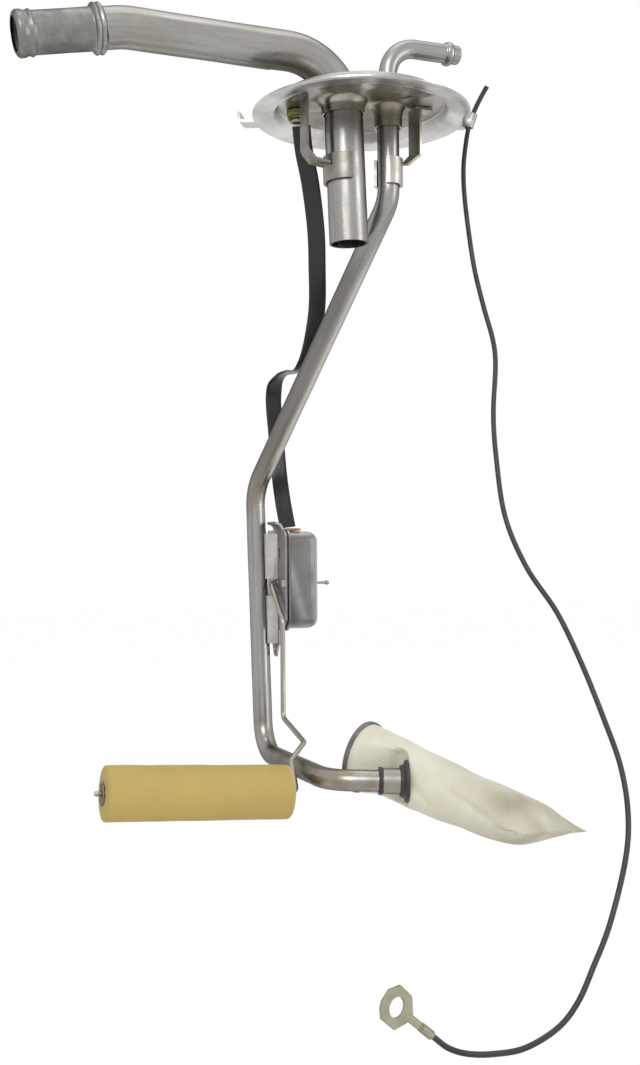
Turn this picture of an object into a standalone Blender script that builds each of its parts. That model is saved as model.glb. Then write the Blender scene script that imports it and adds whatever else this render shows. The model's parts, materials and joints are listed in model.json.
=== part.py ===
"""Fuel level sender: a tank flange that carries a vent tube, a fuel pickup tube with a filter sock, a
sender can with a float arm, a flat lead and a ground wire. Metres, +Z up, the flange seat at z = 0."""

import math

import bmesh
import bpy
from mathutils import Matrix, Vector

# Clearance between pieces that touch in the real object
GAP = 0.0003

# Vent tube
VENT_RADIUS = 0.0083
VENT_WALL = 0.0010
VENT_BEND = 0.0254
VENT_KNEE_BEND = 0.0350
VENT_FOOT = Vector((-0.0066, -0.0015, -0.0554))
VENT_TOP = Vector((-0.0097, -0.0015, 0.0234))
VENT_KNEE = Vector((-0.1035, -0.0015, 0.0247))
VENT_MOUTH = Vector((-0.1464, -0.0015, 0.0161))
VENT_BEAD = 0.0019
VENT_SLEEVE = 0.0002
VENT_LIP = 0.0008
VENT_COLLAR_TOP = 0.0146
VENT_COLLAR_WALL = 0.0007
VENT_COLLAR_DROP = 0.0066

# Fuel pickup tube
FUEL_RADIUS = 0.00476
FUEL_WALL = 0.0007
FUEL_BEND = 0.0125
FUEL_LOWER_BEND = 0.016
FUEL_BACK_BEND = 0.022
FUEL_NECK_BEND = 0.015
FUEL_OUTLET = Vector((0.0460, -0.0007, 0.0325))
FUEL_TOP = Vector((0.0123, -0.0007, 0.0325))
FUEL_NECK = Vector((0.0122, -0.0007, -0.0350))
FUEL_BACK = Vector((-0.0143, 0.1111, -0.1543))
FUEL_ELBOW = Vector((-0.0104, 0.1108, -0.2858))
FUEL_TURN = Vector((-0.0104, 0.0182, -0.2858))
FUEL_END = Vector((0.0205, 0.0080, -0.2866))
FUEL_BEAD = 0.0010
FUEL_COLLAR_TOP = 0.0092
FUEL_COLLAR_WALL = 0.0010
FUEL_COLLAR_DROP = 0.0098

# Stamped straps that hold the two tubes
STRAP = 0.0012
STRAP_FOOT = 0.0040
VENT_STRAP_WIDTH = 0.0080
VENT_STRAP_STAND_OFF = 0.0027
VENT_STRAP_LEG_X = VENT_TOP.x - VENT_COLLAR_TOP - VENT_STRAP_STAND_OFF
VENT_STRAP_Y = -0.0030
VENT_BAND_TOP = -0.0185
VENT_BAND_HEIGHT = 0.0110
VENT_BAND_ANGLES = (math.radians(128), math.radians(267))
FUEL_STRAP_WIDTH = 0.0074
FUEL_STRAP_FACE = Vector((0.290, -0.957, 0))
FUEL_STRAP_FOOT = 0.0084
FUEL_STRAP_FOLD = 0.0031
FUEL_BAND_TOP = -0.0172
FUEL_BAND_HEIGHT = 0.0115
FUEL_BAND_ANGLES = (math.radians(-122), math.radians(158))
PAD_WALL = 0.0008
PAD_LENGTH = 0.0215
PAD_MIDDLE = -0.0200
PAD_ANGLES = (math.radians(96), math.radians(122))

# Flange: a pressed steel disc whose raised middle clears the straps' feet
SHEET = 0.0012
RECESS_MARGIN = 0.0055
RECESS_RADIUS = STRAP_FOOT + RECESS_MARGIN - VENT_STRAP_LEG_X
RECESS_RISE = 0.0055
WALL_DRAFT = 0.0006
LEDGE = 0.0030
STEP_RADIUS = RECESS_RADIUS + LEDGE
STEP_RISE = 0.0008
SEAT_WIDTH = 0.0073
FLANGE_RADIUS = STEP_RADIUS + SEAT_WIDTH
FLANGE_SIDES = 72
EDGE_FILLET = 0.0006
LEFT_TAB_ANGLE = math.radians(150)
LEFT_TAB_WIDTH = 0.0085
LEFT_TAB_REACH = 0.0062
LEFT_TAB_HOOK = 0.0042
GROUND_TAB_ANGLE = math.radians(-6)
GROUND_TAB_WIDTH = 0.0130
GROUND_TAB_REACH = 0.0030
TAB_ROOT = 0.0040
BUTTON_PLACE = Vector((0.0120, -0.0157, 0))
BUTTON_RADIUS = 0.0040
BUTTON_DEPTH = 0.0006

# Sender terminal in the raised plate
STUD_MARGIN = 0.0080
STUD_ANGLE = math.radians(145.9)
STUD_PLACE = Matrix.Rotation(STUD_ANGLE, 3, "Z") @ Vector((RECESS_RADIUS - STUD_MARGIN, 0, 0))
STUD_RADIUS = 0.0019
STUD_LENGTH = 0.0155
STUD_HEAD = 0.0012
STUD_HEAD_RADIUS = 0.0033
INSULATOR_NECK = 0.0032
INSULATOR_RADIUS = 0.0046
INSULATOR_DROP = 0.0026
INSULATOR_WASHER = 0.0018
EYELET = 0.0007
EYELET_RADIUS = 0.0042
NUT_ACROSS = 0.0064
NUT_HEIGHT = 0.0028

# Sender can and its bracket
PIVOT = Vector((-0.0080, 0.1050, -0.2013))
PLATE_FACE = -0.0040
PLATE = 0.0011
CAN_ABOVE_PIVOT = 0.0257
CAN_TOP = PIVOT.z + CAN_ABOVE_PIVOT
CAN_DEPTH = 0.0162
CAN_HALF_WIDTH = 0.0150
CAN_HEIGHT = 0.0480
CAN_CORNER = 0.0050
CAN_SHEET = 0.0008
CAN_RIM = 0.0012
WRAP_START = math.radians(-62)
WRAP_END = math.radians(112)
WEB_END = math.radians(-40)
TAIL_DROP = 0.0078
TAIL_POINT = 0.0068
EAR_WIDTH = 0.0130
EAR_RISE = 0.0036
EAR_REACH = 0.0042
SHAFT_RADIUS = 0.0021
SHAFT_STUB_RADIUS = 0.0014
SHAFT_STUB = 0.0102
BOARD = 0.0012
CARD_FRONT = 0.0118
CARD_LOW = 0.0090
CARD_HIGH = 0.0225
WINDING_WALL = 0.0009
WINDING_MARGIN = 0.0020
HUB_RADIUS = 0.0042
HUB_LENGTH = 0.0040
WIPER = 0.0006
WIPER_REACH = 0.0165
WIPER_REST = math.radians(-40)
LEAD_BOARD_FRONT = -0.0120
LEAD_BOARD_BACK = 0.0020
LEAD_BOARD_WIDTH = 0.0062

# Float arm
ROD_RADIUS = 0.00119
ARM_CRANK = 0.0180
ARM_DROP = 0.0470
ARM_REACH = Vector((0.0, -0.0310, -0.0080))
ARM_HOOK = Vector((-0.0100, -0.0100, -0.0065))
FLOAT_RADIUS = 0.0121
FLOAT_LENGTH = 0.0830
FLOAT_END = Vector((-0.0222, 0.0375, -0.2932))
FLOAT_TILT = math.radians(3.2)
ROD_TAIL = 0.0036
RETAINER_RADIUS = 0.0051
RETAINER = 0.0006
RETAINER_TEETH = 8

# Filter
TUBE_RING = 0.0016
TUBE_RING_WALL = 0.0011
TUBE_RING_SET_BACK = 0.0105
BARREL_WALL = 0.0006
BARREL_OVERLAP = 0.0022
BARREL_LIP = 0.0016
GROMMET_RADIUS = 0.0093
GROMMET = 0.0034
GROMMET_FLANGE = 0.0012
POCKET_REACH = 0.020
SOCK_START = Vector((0.0138, 0.0372, -0.2796))
SOCK_AXIS = Vector((0.575, -0.795, -0.195)).normalized()
SOCK_RADIUS = 0.0156
SOCK_LENGTH = 0.0965
SOCK_SEAM_SKEW = 0.22
SOCK_SEAM_LIFT = 0.09
SOCK_RING = 0.0022
SOCK_RING_WALL = 0.0011
SOCK_DRAW_IN = 0.968

# Flat lead, a ribbon
LEAD_WIDTH = 0.0080
LEAD_THICKNESS = 0.0009

# Ground wire, its crimp and its ring terminal
WIRE_RADIUS = 0.00105
CRIMP_WALL = 0.0006
CRIMP_LENGTH = 0.0062
CRIMP_START = 0.0004
CRIMP_FOOT = 0.0065
CRIMP_FOOT_WIDTH = 0.0034
TERMINAL_SHEET = 0.0010
TERMINAL_RADIUS = 0.0073
TERMINAL_HOLE = 0.00345
TERMINAL_CENTRE = Vector((-0.0352, -0.1131, -0.3391))
TERMINAL_TILT = math.radians(39)
TERMINAL_TURN = math.radians(-39)
TERMINAL_FACING = math.radians(-20)
TERMINAL_NECK = 0.0150
TERMINAL_NECK_WIDTH = 0.0028
TERMINAL_BARREL = 0.0056
TERMINAL_CORNERS = (3, 57, 114, 156, 190, 210, 238, 300, 339)


def clear_scene():
    for leftover in list(bpy.data.objects):
        bpy.data.objects.remove(leftover, do_unlink=True)


def new_collection(name):
    collection = bpy.data.collections.new(name)
    bpy.context.scene.collection.children.link(collection)
    return collection


clear_scene()
PARTS = new_collection("fuel_level_sender")
CUTTERS = new_collection("fuel_level_sender_cutters")


def finish(name, colour, metallic, roughness):
    material = bpy.data.materials.new(name)
    material.use_nodes = True
    shader = material.node_tree.nodes["Principled BSDF"]
    shader.inputs["Base Color"].default_value = (*colour, 1)
    shader.inputs["Metallic"].default_value = metallic
    shader.inputs["Roughness"].default_value = roughness
    return material


ZINC_STEEL = finish("zinc_steel", (0.36, 0.35, 0.34), 1, 0.35)
TUBE_STEEL = finish("tube_steel", (0.33, 0.32, 0.30), 1, 0.32)
STRAP_STEEL = finish("strap_steel", (0.24, 0.23, 0.22), 1, 0.40)
BRACKET_STEEL = finish("bracket_steel", (0.40, 0.39, 0.38), 1, 0.42)
WIRE_STEEL = finish("wire_steel", (0.42, 0.41, 0.37), 1, 0.30)
BRASS = finish("brass", (0.55, 0.42, 0.18), 1, 0.35)
OLIVE_PLASTIC = finish("olive_plastic", (0.26, 0.27, 0.07), 0, 0.5)
PHENOLIC = finish("phenolic_board", (0.35, 0.17, 0.05), 0, 0.55)
RED_RUBBER = finish("red_rubber", (0.45, 0.02, 0.02), 0, 0.5)
BLACK_PVC = finish("black_pvc", (0.012, 0.012, 0.012), 0, 0.45)
FOAM = finish("tan_foam", (0.56, 0.41, 0.16), 0, 0.8)
NYLON_SOCK = finish("cream_nylon", (0.80, 0.78, 0.66), 0, 0.6)
GREY_PLASTIC = finish("grey_plastic", (0.17, 0.16, 0.15), 0, 0.45)
DARK_RUBBER = finish("dark_rubber", (0.03, 0.028, 0.025), 0, 0.5)


def link(obj, material, collection=PARTS):
    collection.objects.link(obj)
    obj.data.materials.append(material)
    return obj


def smooth(obj, angle=35):
    obj.data.shade_smooth()
    obj.data.set_sharp_from_angle(angle=math.radians(angle))
    return obj


def hide_as_cutter(obj):
    for owner in list(obj.users_collection):
        owner.objects.unlink(obj)
    CUTTERS.objects.link(obj)
    obj.hide_render = True
    obj.display_type = "WIRE"
    return obj


def combine(obj, other, operation):
    """A live Boolean with a hidden helper."""
    step = obj.modifiers.new(operation.lower(), "BOOLEAN")
    step.operation = operation
    step.object = hide_as_cutter(other)
    return obj


def frame_along(origin, direction):
    """A frame at origin whose +Z runs along direction."""
    return Matrix.Translation(origin) @ direction.to_track_quat("Z", "Y").to_matrix().to_4x4()


def turned(name, profile, material, frame=Matrix.Identity(4), sides=32, closed=False):
    """A Screw of a profile of (radius, height) that runs from the top down its outer side."""
    mesh = bpy.data.meshes.new(name)
    count = len(profile)
    edges = [(i, i + 1) for i in range(count - 1)]
    if closed:
        edges.append((count - 1, 0))
    mesh.from_pydata([(radius, 0, height) for radius, height in profile], edges, [])
    obj = link(bpy.data.objects.new(name, mesh), material)
    screw = obj.modifiers.new("turn", "SCREW")
    screw.steps = screw.render_steps = sides
    screw.use_merge_vertices = True
    screw.merge_threshold = 0.00001
    obj.matrix_world = frame
    return obj


def cylinder(name, start, end, radius, material, sides=32):
    length = (end - start).length
    profile = [(0, length), (radius, length), (radius, 0), (0, 0)]
    return turned(name, profile, material, frame_along(start, end - start), sides)


def ring(name, start, end, inner, outer, material, sides=32):
    length = (end - start).length
    profile = [(inner, length), (outer, length), (outer, 0), (inner, 0)]
    return turned(name, profile, material, frame_along(start, end - start), sides, closed=True)


def box(name, low, high, material):
    mesh = bpy.data.meshes.new(name)
    shape = bmesh.new()
    bmesh.ops.create_cube(shape, size=1)
    low, high = Vector(low), Vector(high)
    middle, sides = (low + high) / 2, high - low
    for vertex in shape.verts:
        vertex.co = middle + Vector(a * b for a, b in zip(vertex.co, sides))
    shape.to_mesh(mesh)
    shape.free()
    return link(bpy.data.objects.new(name, mesh), material)


def plate(name, outline, thickness, material, frame):
    """A flat outline of (x, y) points in the frame, with its thickness centred on the frame's XY plane."""
    curve = bpy.data.curves.new(name, "CURVE")
    curve.dimensions = "2D"
    curve.fill_mode = "BOTH"
    curve.extrude = thickness / 2
    spline = curve.splines.new("POLY")
    spline.points.add(len(outline) - 1)
    for point, place in zip(spline.points, outline):
        point.co = (*place, 0, 1)
    spline.use_cyclic_u = True
    obj = bpy.data.objects.new(name, curve)
    obj.matrix_world = frame
    return as_mesh(obj, material)


def as_mesh(obj, material):
    """The curve object's evaluated mesh as an object of its own, with its caps welded."""
    if not obj.users_collection:
        PARTS.objects.link(obj)
    graph = bpy.context.evaluated_depsgraph_get()
    mesh = bpy.data.meshes.new_from_object(obj.evaluated_get(graph))
    shape = bmesh.new()
    shape.from_mesh(mesh)
    bmesh.ops.remove_doubles(shape, verts=shape.verts, dist=0.000001)
    bmesh.ops.recalc_face_normals(shape, faces=shape.faces)
    shape.to_mesh(mesh)
    shape.free()
    mesh.materials.clear()
    made = bpy.data.objects.new(obj.name + "_mesh", mesh)
    made.matrix_world = obj.matrix_world
    name = obj.name
    curve = obj.data
    bpy.data.objects.remove(obj, do_unlink=True)
    bpy.data.curves.remove(curve)
    made.name = name
    return link(made, material)


def strip(name, path, width, thickness, material, frame, offset=0):
    """A bent sheet: a path of (x, y) points in the frame, swept along the frame's Z by its width."""
    curve = bpy.data.curves.new(name, "CURVE")
    curve.dimensions = "2D"
    curve.fill_mode = "NONE"
    curve.extrude = width / 2
    spline = curve.splines.new("POLY")
    spline.points.add(len(path) - 1)
    for point, place in zip(spline.points, path):
        point.co = (*place, 0, 1)
    obj = bpy.data.objects.new(name, curve)
    obj.matrix_world = frame
    made = as_mesh(obj, material)
    wall = made.modifiers.new("sheet", "SOLIDIFY")
    wall.thickness = thickness
    wall.offset = offset
    wall.use_even_offset = True
    return made


def slab(name, corners, thickness, material):
    """A plate between four corners, with its thickness added along its normal."""
    across = (corners[2] - corners[0]).cross(corners[3] - corners[1]).normalized() * thickness
    shape = bmesh.new()
    near = [shape.verts.new(corner) for corner in corners]
    far = [shape.verts.new(corner + across) for corner in corners]
    shape.faces.new(near)
    shape.faces.new(far)
    for i in range(4):
        k = (i + 1) % 4
        shape.faces.new((near[i], near[k], far[k], far[i]))
    bmesh.ops.triangulate(shape, faces=shape.faces)
    bmesh.ops.recalc_face_normals(shape, faces=shape.faces)
    mesh = bpy.data.meshes.new(name)
    shape.to_mesh(mesh)
    shape.free()
    return link(bpy.data.objects.new(name, mesh), material)


def arc(radius, start, end, steps, centre=(0, 0)):
    angles = [start + (end - start) * i / steps for i in range(steps + 1)]
    return [(centre[0] + radius * math.cos(a), centre[1] + radius * math.sin(a)) for a in angles]


def filleted(corners, radii, turn_step=math.radians(12)):
    """The corner points of a route with a round bend at each inner one."""
    points = [corners[0].copy()]
    for before, corner, after, radius in zip(corners, corners[1:], corners[2:], radii):
        arriving = (corner - before).normalized()
        leaving = (after - corner).normalized()
        turn = arriving.angle(leaving)
        inward = (leaving - arriving).normalized()
        centre = corner + inward * radius / math.cos(turn / 2)
        first = corner - arriving * radius * math.tan(turn / 2) - centre
        axis = arriving.cross(leaving)
        steps = max(2, math.ceil(turn / turn_step))
        for i in range(steps + 1):
            points.append(centre + Matrix.Rotation(turn * i / steps, 3, axis) @ first)
    points.append(corners[-1].copy())
    return points


def with_marks(route, marks):
    """The route as (point, radius factor), with marks of (distance from the end, factor) on its last run."""
    end, before = route[-1], route[-2]
    direction = (before - end).normalized()
    stations = [(point, 1) for point in route[:-1]]
    stations += [(end + direction * distance, factor) for distance, factor in marks]
    return stations


def swept(name, stations, radius, material, resolution=4, wall=None):
    """A round tube or rod along stations of (point, radius factor)."""
    curve = bpy.data.curves.new(name, "CURVE")
    curve.dimensions = "3D"
    curve.bevel_depth = radius
    curve.bevel_resolution = resolution
    curve.use_fill_caps = wall is None
    spline = curve.splines.new("POLY")
    spline.points.add(len(stations) - 1)
    for point, (place, factor) in zip(spline.points, stations):
        point.co = (*place, 1)
        point.radius = factor
    obj = link(bpy.data.objects.new(name, curve), material)
    if wall is not None:
        sheet = obj.modifiers.new("wall", "SOLIDIFY")
        sheet.thickness = wall
        sheet.offset = -1
    return obj


def smooth_route(points, steps):
    """Points on a smooth curve through the route's own points."""
    made = []
    for i in range(len(points) - 1):
        before = points[max(i - 1, 0)]
        start, end = points[i], points[i + 1]
        after = points[min(i + 2, len(points) - 1)]
        for k in range(steps):
            t = k / steps
            made.append(
                0.5
                * (
                    2 * start
                    + (end - before) * t
                    + (2 * before - 5 * start + 4 * end - after) * t * t
                    + (3 * start - before - 3 * end + after) * t**3
                )
            )
    made.append(points[-1].copy())
    return made


# Flange


def make_flange():
    """The pressed disc, its two drawn collars, the tab that hooks on the left and the ground tab."""
    top = RECESS_RISE + SHEET
    wall_top = RECESS_RADIUS - WALL_DRAFT
    underside = [
        (wall_top, RECESS_RISE),
        (RECESS_RADIUS, RECESS_RISE - 0.0009),
        (RECESS_RADIUS + 0.0004, STEP_RISE + 0.0010),
        (RECESS_RADIUS + 0.0014, STEP_RISE),
        (STEP_RADIUS, STEP_RISE),
        (STEP_RADIUS + 0.0018, 0),
        (FLANGE_RADIUS - EDGE_FILLET, 0),
        (FLANGE_RADIUS, EDGE_FILLET),
    ]
    upper = [
        (wall_top + 0.0002, top),
        (RECESS_RADIUS + SHEET, RECESS_RISE + 0.0002),
        (RECESS_RADIUS + SHEET + 0.0004, STEP_RISE + SHEET + 0.0009),
        (RECESS_RADIUS + SHEET + 0.0012, STEP_RISE + SHEET),
        (STEP_RADIUS + 0.0003, STEP_RISE + SHEET),
        (STEP_RADIUS + 0.0021, SHEET),
        (FLANGE_RADIUS, SHEET),
    ]
    profile = [(0, top), *upper, *reversed(underside), (0, RECESS_RISE)]
    flange = turned("flange_plate", profile, ZINC_STEEL, sides=FLANGE_SIDES)
    for collar in (vent_collar(), fuel_collar()):
        combine(flange, collar, "UNION")
    for tab in flange_tabs():
        combine(flange, tab, "UNION")
    for hole in (*flange_holes(), plate_button()):
        combine(flange, hole, "DIFFERENCE")
    return smooth(flange)


def collar(name, tube_point, tube_axis, tube_radius, top_radius, wall, drop):
    """A drawn cone from the raised plate down round a tube, as a solid that its bore is cut from."""
    upward = -tube_axis if tube_axis.z < 0 else tube_axis
    start = tube_point + upward * ((RECESS_RISE + SHEET / 2 - tube_point.z) / upward.z)
    end = start - upward * drop
    throat = tube_radius + GAP + wall
    flare = top_radius - throat
    steps = 6
    trumpet = []
    for i in range(steps + 1):
        angle = math.radians(90) * i / steps
        radius = throat + flare * (1 - math.cos(angle)) ** 1.25
        trumpet.append((radius, drop * (0.30 + 0.70 * math.sin(angle))))
    profile = [(0, drop), *reversed(trumpet), (throat, 0), (0, 0)]
    return turned(name, profile, ZINC_STEEL, frame_along(end, upward), 40)


def plate_button():
    """The shallow round pocket pressed in the raised plate's underside."""
    low = BUTTON_PLACE + Vector((0, 0, RECESS_RISE - SHEET))
    high = BUTTON_PLACE + Vector((0, 0, RECESS_RISE + BUTTON_DEPTH))
    return cylinder("plate_button", low, high, BUTTON_RADIUS, ZINC_STEEL, 24)


def vent_collar():
    axis = (VENT_FOOT - VENT_TOP).normalized()
    return collar(
        "vent_collar", VENT_TOP, axis, VENT_RADIUS, VENT_COLLAR_TOP, VENT_COLLAR_WALL, VENT_COLLAR_DROP
    )


def fuel_collar():
    axis = (FUEL_NECK - FUEL_TOP).normalized()
    return collar(
        "fuel_collar", FUEL_TOP, axis, FUEL_RADIUS, FUEL_COLLAR_TOP, FUEL_COLLAR_WALL, FUEL_COLLAR_DROP
    )


def flange_tabs():
    left = Matrix.Rotation(LEFT_TAB_ANGLE, 4, "Z") @ Matrix.Translation((0, 0, SHEET / 2))
    upright = left @ Matrix.Rotation(math.radians(90), 4, "X")
    hook = [
        (FLANGE_RADIUS - TAB_ROOT, 0),
        (FLANGE_RADIUS + LEFT_TAB_REACH - 0.0016, 0),
        (FLANGE_RADIUS + LEFT_TAB_REACH - 0.0004, 0.0005),
        (FLANGE_RADIUS + LEFT_TAB_REACH + 0.0002, 0.0016),
        (FLANGE_RADIUS + LEFT_TAB_REACH, LEFT_TAB_HOOK),
    ]
    ground = Matrix.Rotation(GROUND_TAB_ANGLE, 4, "Z") @ Matrix.Translation((0, 0, SHEET / 2))
    half = GROUND_TAB_WIDTH / 2
    outline = [
        (FLANGE_RADIUS - TAB_ROOT, -half),
        (FLANGE_RADIUS + GROUND_TAB_REACH * 0.6, -half * 0.9),
        (FLANGE_RADIUS + GROUND_TAB_REACH, -half * 0.45),
        (FLANGE_RADIUS + GROUND_TAB_REACH, half * 0.45),
        (FLANGE_RADIUS + GROUND_TAB_REACH * 0.6, half * 0.9),
        (FLANGE_RADIUS - TAB_ROOT, half),
    ]
    return (
        strip("left_tab", hook, LEFT_TAB_WIDTH, SHEET * 0.9, ZINC_STEEL, upright),
        plate("ground_tab", outline, SHEET * 0.9, ZINC_STEEL, ground),
    )


def vent_route():
    corners = [VENT_FOOT, VENT_TOP, VENT_KNEE, VENT_MOUTH]
    return filleted(corners, [VENT_BEND, VENT_KNEE_BEND], math.radians(9))


def flange_holes():
    fuel_axis = (FUEL_TOP - FUEL_NECK).normalized()
    reach = 0.03
    fuel_start = FUEL_NECK + fuel_axis * ((-reach - FUEL_NECK.z) / fuel_axis.z)
    stud_low = STUD_PLACE - Vector((0, 0, reach))
    length = 2 * reach
    fuel_end = fuel_start + fuel_axis * length
    stud_high = stud_low + Vector((0, 0, length))
    vent_hole = swept("vent_hole", [(point, 1) for point in vent_route()], VENT_RADIUS + GAP, ZINC_STEEL, 8)
    return (
        as_mesh(vent_hole, ZINC_STEEL),
        cylinder("fuel_hole", fuel_start, fuel_end, FUEL_RADIUS + GAP, ZINC_STEEL, 32),
        cylinder("stud_hole", stud_low, stud_high, INSULATOR_NECK + GAP, ZINC_STEEL, 24),
    )


make_flange()


# Tubes


def make_vent_tube():
    route = vent_route()
    bead = 1 + VENT_BEAD / VENT_RADIUS
    valley = 1 + 0.75 * VENT_BEAD / VENT_RADIUS
    sleeve = 1 + VENT_SLEEVE / VENT_RADIUS
    lip = 1 + VENT_LIP / VENT_RADIUS
    marks = [
        (0.0358, 1),
        (0.0349, bead),
        (0.0337, bead),
        (0.0330, valley),
        (0.0322, bead),
        (0.0311, bead),
        (0.0302, sleeve),
        (0.0072, sleeve),
        (0.0064, lip),
        (0.0058, lip),
        (0.0052, sleeve),
        (0.0040, lip),
        (0.0018, lip),
        (0.0004, sleeve),
        (0, 0.93),
    ]
    return swept("vent_tube", with_marks(route, marks), VENT_RADIUS, TUBE_STEEL, 8, VENT_WALL)


def make_fuel_tube():
    corners = [FUEL_END, FUEL_TURN, FUEL_ELBOW, FUEL_BACK, FUEL_NECK, FUEL_TOP, FUEL_OUTLET]
    radii = [FUEL_LOWER_BEND, FUEL_LOWER_BEND, FUEL_BACK_BEND, FUEL_NECK_BEND, FUEL_BEND]
    route = filleted(corners, radii, math.radians(15))
    swell = 1 + FUEL_BEAD / FUEL_RADIUS
    marks = [
        (0.0086, 1),
        (0.0074, swell),
        (0.0046, swell),
        (0.0034, 1),
        (0.0008, 1),
        (0, 0.9),
    ]
    return swept("fuel_pickup_tube", with_marks(route, marks), FUEL_RADIUS, TUBE_STEEL, 6, FUEL_WALL)


make_vent_tube()
make_fuel_tube()


# Straps


def tube_centre(low, high, z):
    """The point at height z on the straight run between two points."""
    return low + (high - low) * ((z - low.z) / (high.z - low.z))


def band(name, low, high, top, height, tube_radius, angles, material):
    """A part ring of sheet round a tube that leans a little."""
    middle = tube_centre(low, high, top - height / 2)
    frame = Matrix.Translation(middle) @ lean(high - low)
    path = arc(tube_radius + GAP + STRAP / 2, *angles, 18)
    return strip(name, path, height, STRAP, material, frame)


def lean(direction):
    return Vector((0, 0, 1)).rotation_difference(direction.normalized()).to_matrix().to_4x4()


def make_vent_strap():
    """A leg from the raised plate, a slanted shelf and a saddle round the vent tube's front."""
    strap = band(
        "vent_tube_strap", VENT_FOOT, VENT_TOP, VENT_BAND_TOP, VENT_BAND_HEIGHT, VENT_RADIUS,
        VENT_BAND_ANGLES, STRAP_STEEL,
    )
    reach = VENT_RADIUS + GAP + STRAP / 2
    centre = tube_centre(VENT_FOOT, VENT_TOP, VENT_BAND_TOP)
    path = [
        (VENT_STRAP_LEG_X, RECESS_RISE - GAP),
        (VENT_STRAP_LEG_X, VENT_BAND_TOP + 0.0014),
        (VENT_STRAP_LEG_X + 0.0007, VENT_BAND_TOP),
        (VENT_STRAP_LEG_X + 0.0036, VENT_BAND_TOP - 0.0032),
        (centre.x - reach * 0.93, VENT_BAND_TOP - 0.0042),
    ]
    upright = Matrix.Translation((0, VENT_STRAP_Y, 0)) @ Matrix.Rotation(math.radians(90), 4, "X")
    leg = strip("vent_strap_leg", path, VENT_STRAP_WIDTH, STRAP, STRAP_STEEL, upright)
    combine(strap, leg, "UNION")
    foot = box(
        "vent_strap_foot",
        (VENT_STRAP_LEG_X - STRAP_FOOT, VENT_STRAP_Y - VENT_STRAP_WIDTH / 2, RECESS_RISE - GAP - STRAP),
        (VENT_STRAP_LEG_X, VENT_STRAP_Y + VENT_STRAP_WIDTH / 2, RECESS_RISE - GAP),
        STRAP_STEEL,
    )
    combine(strap, foot, "UNION")
    return smooth(strap)


def make_fuel_strap():
    """A flat leg from the raised plate that steps in to a saddle round the fuel tube."""
    strap = band(
        "fuel_tube_strap", FUEL_NECK, FUEL_TOP, FUEL_BAND_TOP, FUEL_BAND_HEIGHT, FUEL_RADIUS,
        FUEL_BAND_ANGLES, STRAP_STEEL,
    )
    centre = tube_centre(FUEL_NECK, FUEL_TOP, FUEL_BAND_TOP)
    saddle = centre + Vector((FUEL_RADIUS + GAP, 0, 0))
    rear = Vector((FUEL_TOP.x + FUEL_COLLAR_TOP + GAP, FUEL_TOP.y, 0))
    front = rear + FUEL_STRAP_FACE * FUEL_STRAP_WIDTH
    under_plate = Vector((0, 0, RECESS_RISE - GAP - STRAP / 2))
    rear_fold = rear + Vector((0, 0, FUEL_BAND_TOP + FUEL_STRAP_FOLD))
    front_fold = front + Vector((0, 0, FUEL_BAND_TOP + FUEL_STRAP_FOLD - 0.0010))
    past_fold = Vector((0, 0, -STRAP * 0.7))
    leg_corners = [rear + under_plate, front + under_plate, front_fold + past_fold, rear_fold + past_fold]
    combine(strap, slab("fuel_strap_leg", leg_corners, STRAP, STRAP_STEEL), "UNION")
    inside = Vector((STRAP * 0.3, 0, 0))
    inset = FUEL_STRAP_FACE * STRAP * 0.2
    shelf_corners = [
        rear_fold + inside + inset,
        front_fold + inside - inset,
        saddle + Vector((0.0026, -0.0032, -0.0018)),
        saddle + Vector((0.0006, -0.0010, -0.0014)),
    ]
    combine(strap, slab("fuel_strap_shelf", shelf_corners, STRAP, STRAP_STEEL), "UNION")
    foot = box(
        "fuel_strap_foot",
        (rear.x + STRAP / 2, front.y + STRAP / 4, RECESS_RISE - GAP - STRAP),
        (rear.x + FUEL_STRAP_FOOT, rear.y - STRAP / 4, RECESS_RISE - GAP),
        STRAP_STEEL,
    )
    combine(strap, foot, "UNION")
    return smooth(strap)


def make_strap_pad():
    """A red insulating slip beside the saddle on the vent tube's left."""
    middle = tube_centre(VENT_FOOT, VENT_TOP, PAD_MIDDLE)
    frame = Matrix.Translation(middle) @ lean(VENT_TOP - VENT_FOOT)
    path = arc(VENT_RADIUS + GAP + PAD_WALL / 2, *PAD_ANGLES, 5)
    return strip("red_slip", path, PAD_LENGTH, PAD_WALL, RED_RUBBER, frame)


make_vent_strap()
make_fuel_strap()
make_strap_pad()


# Sender terminal in the flange

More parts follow.
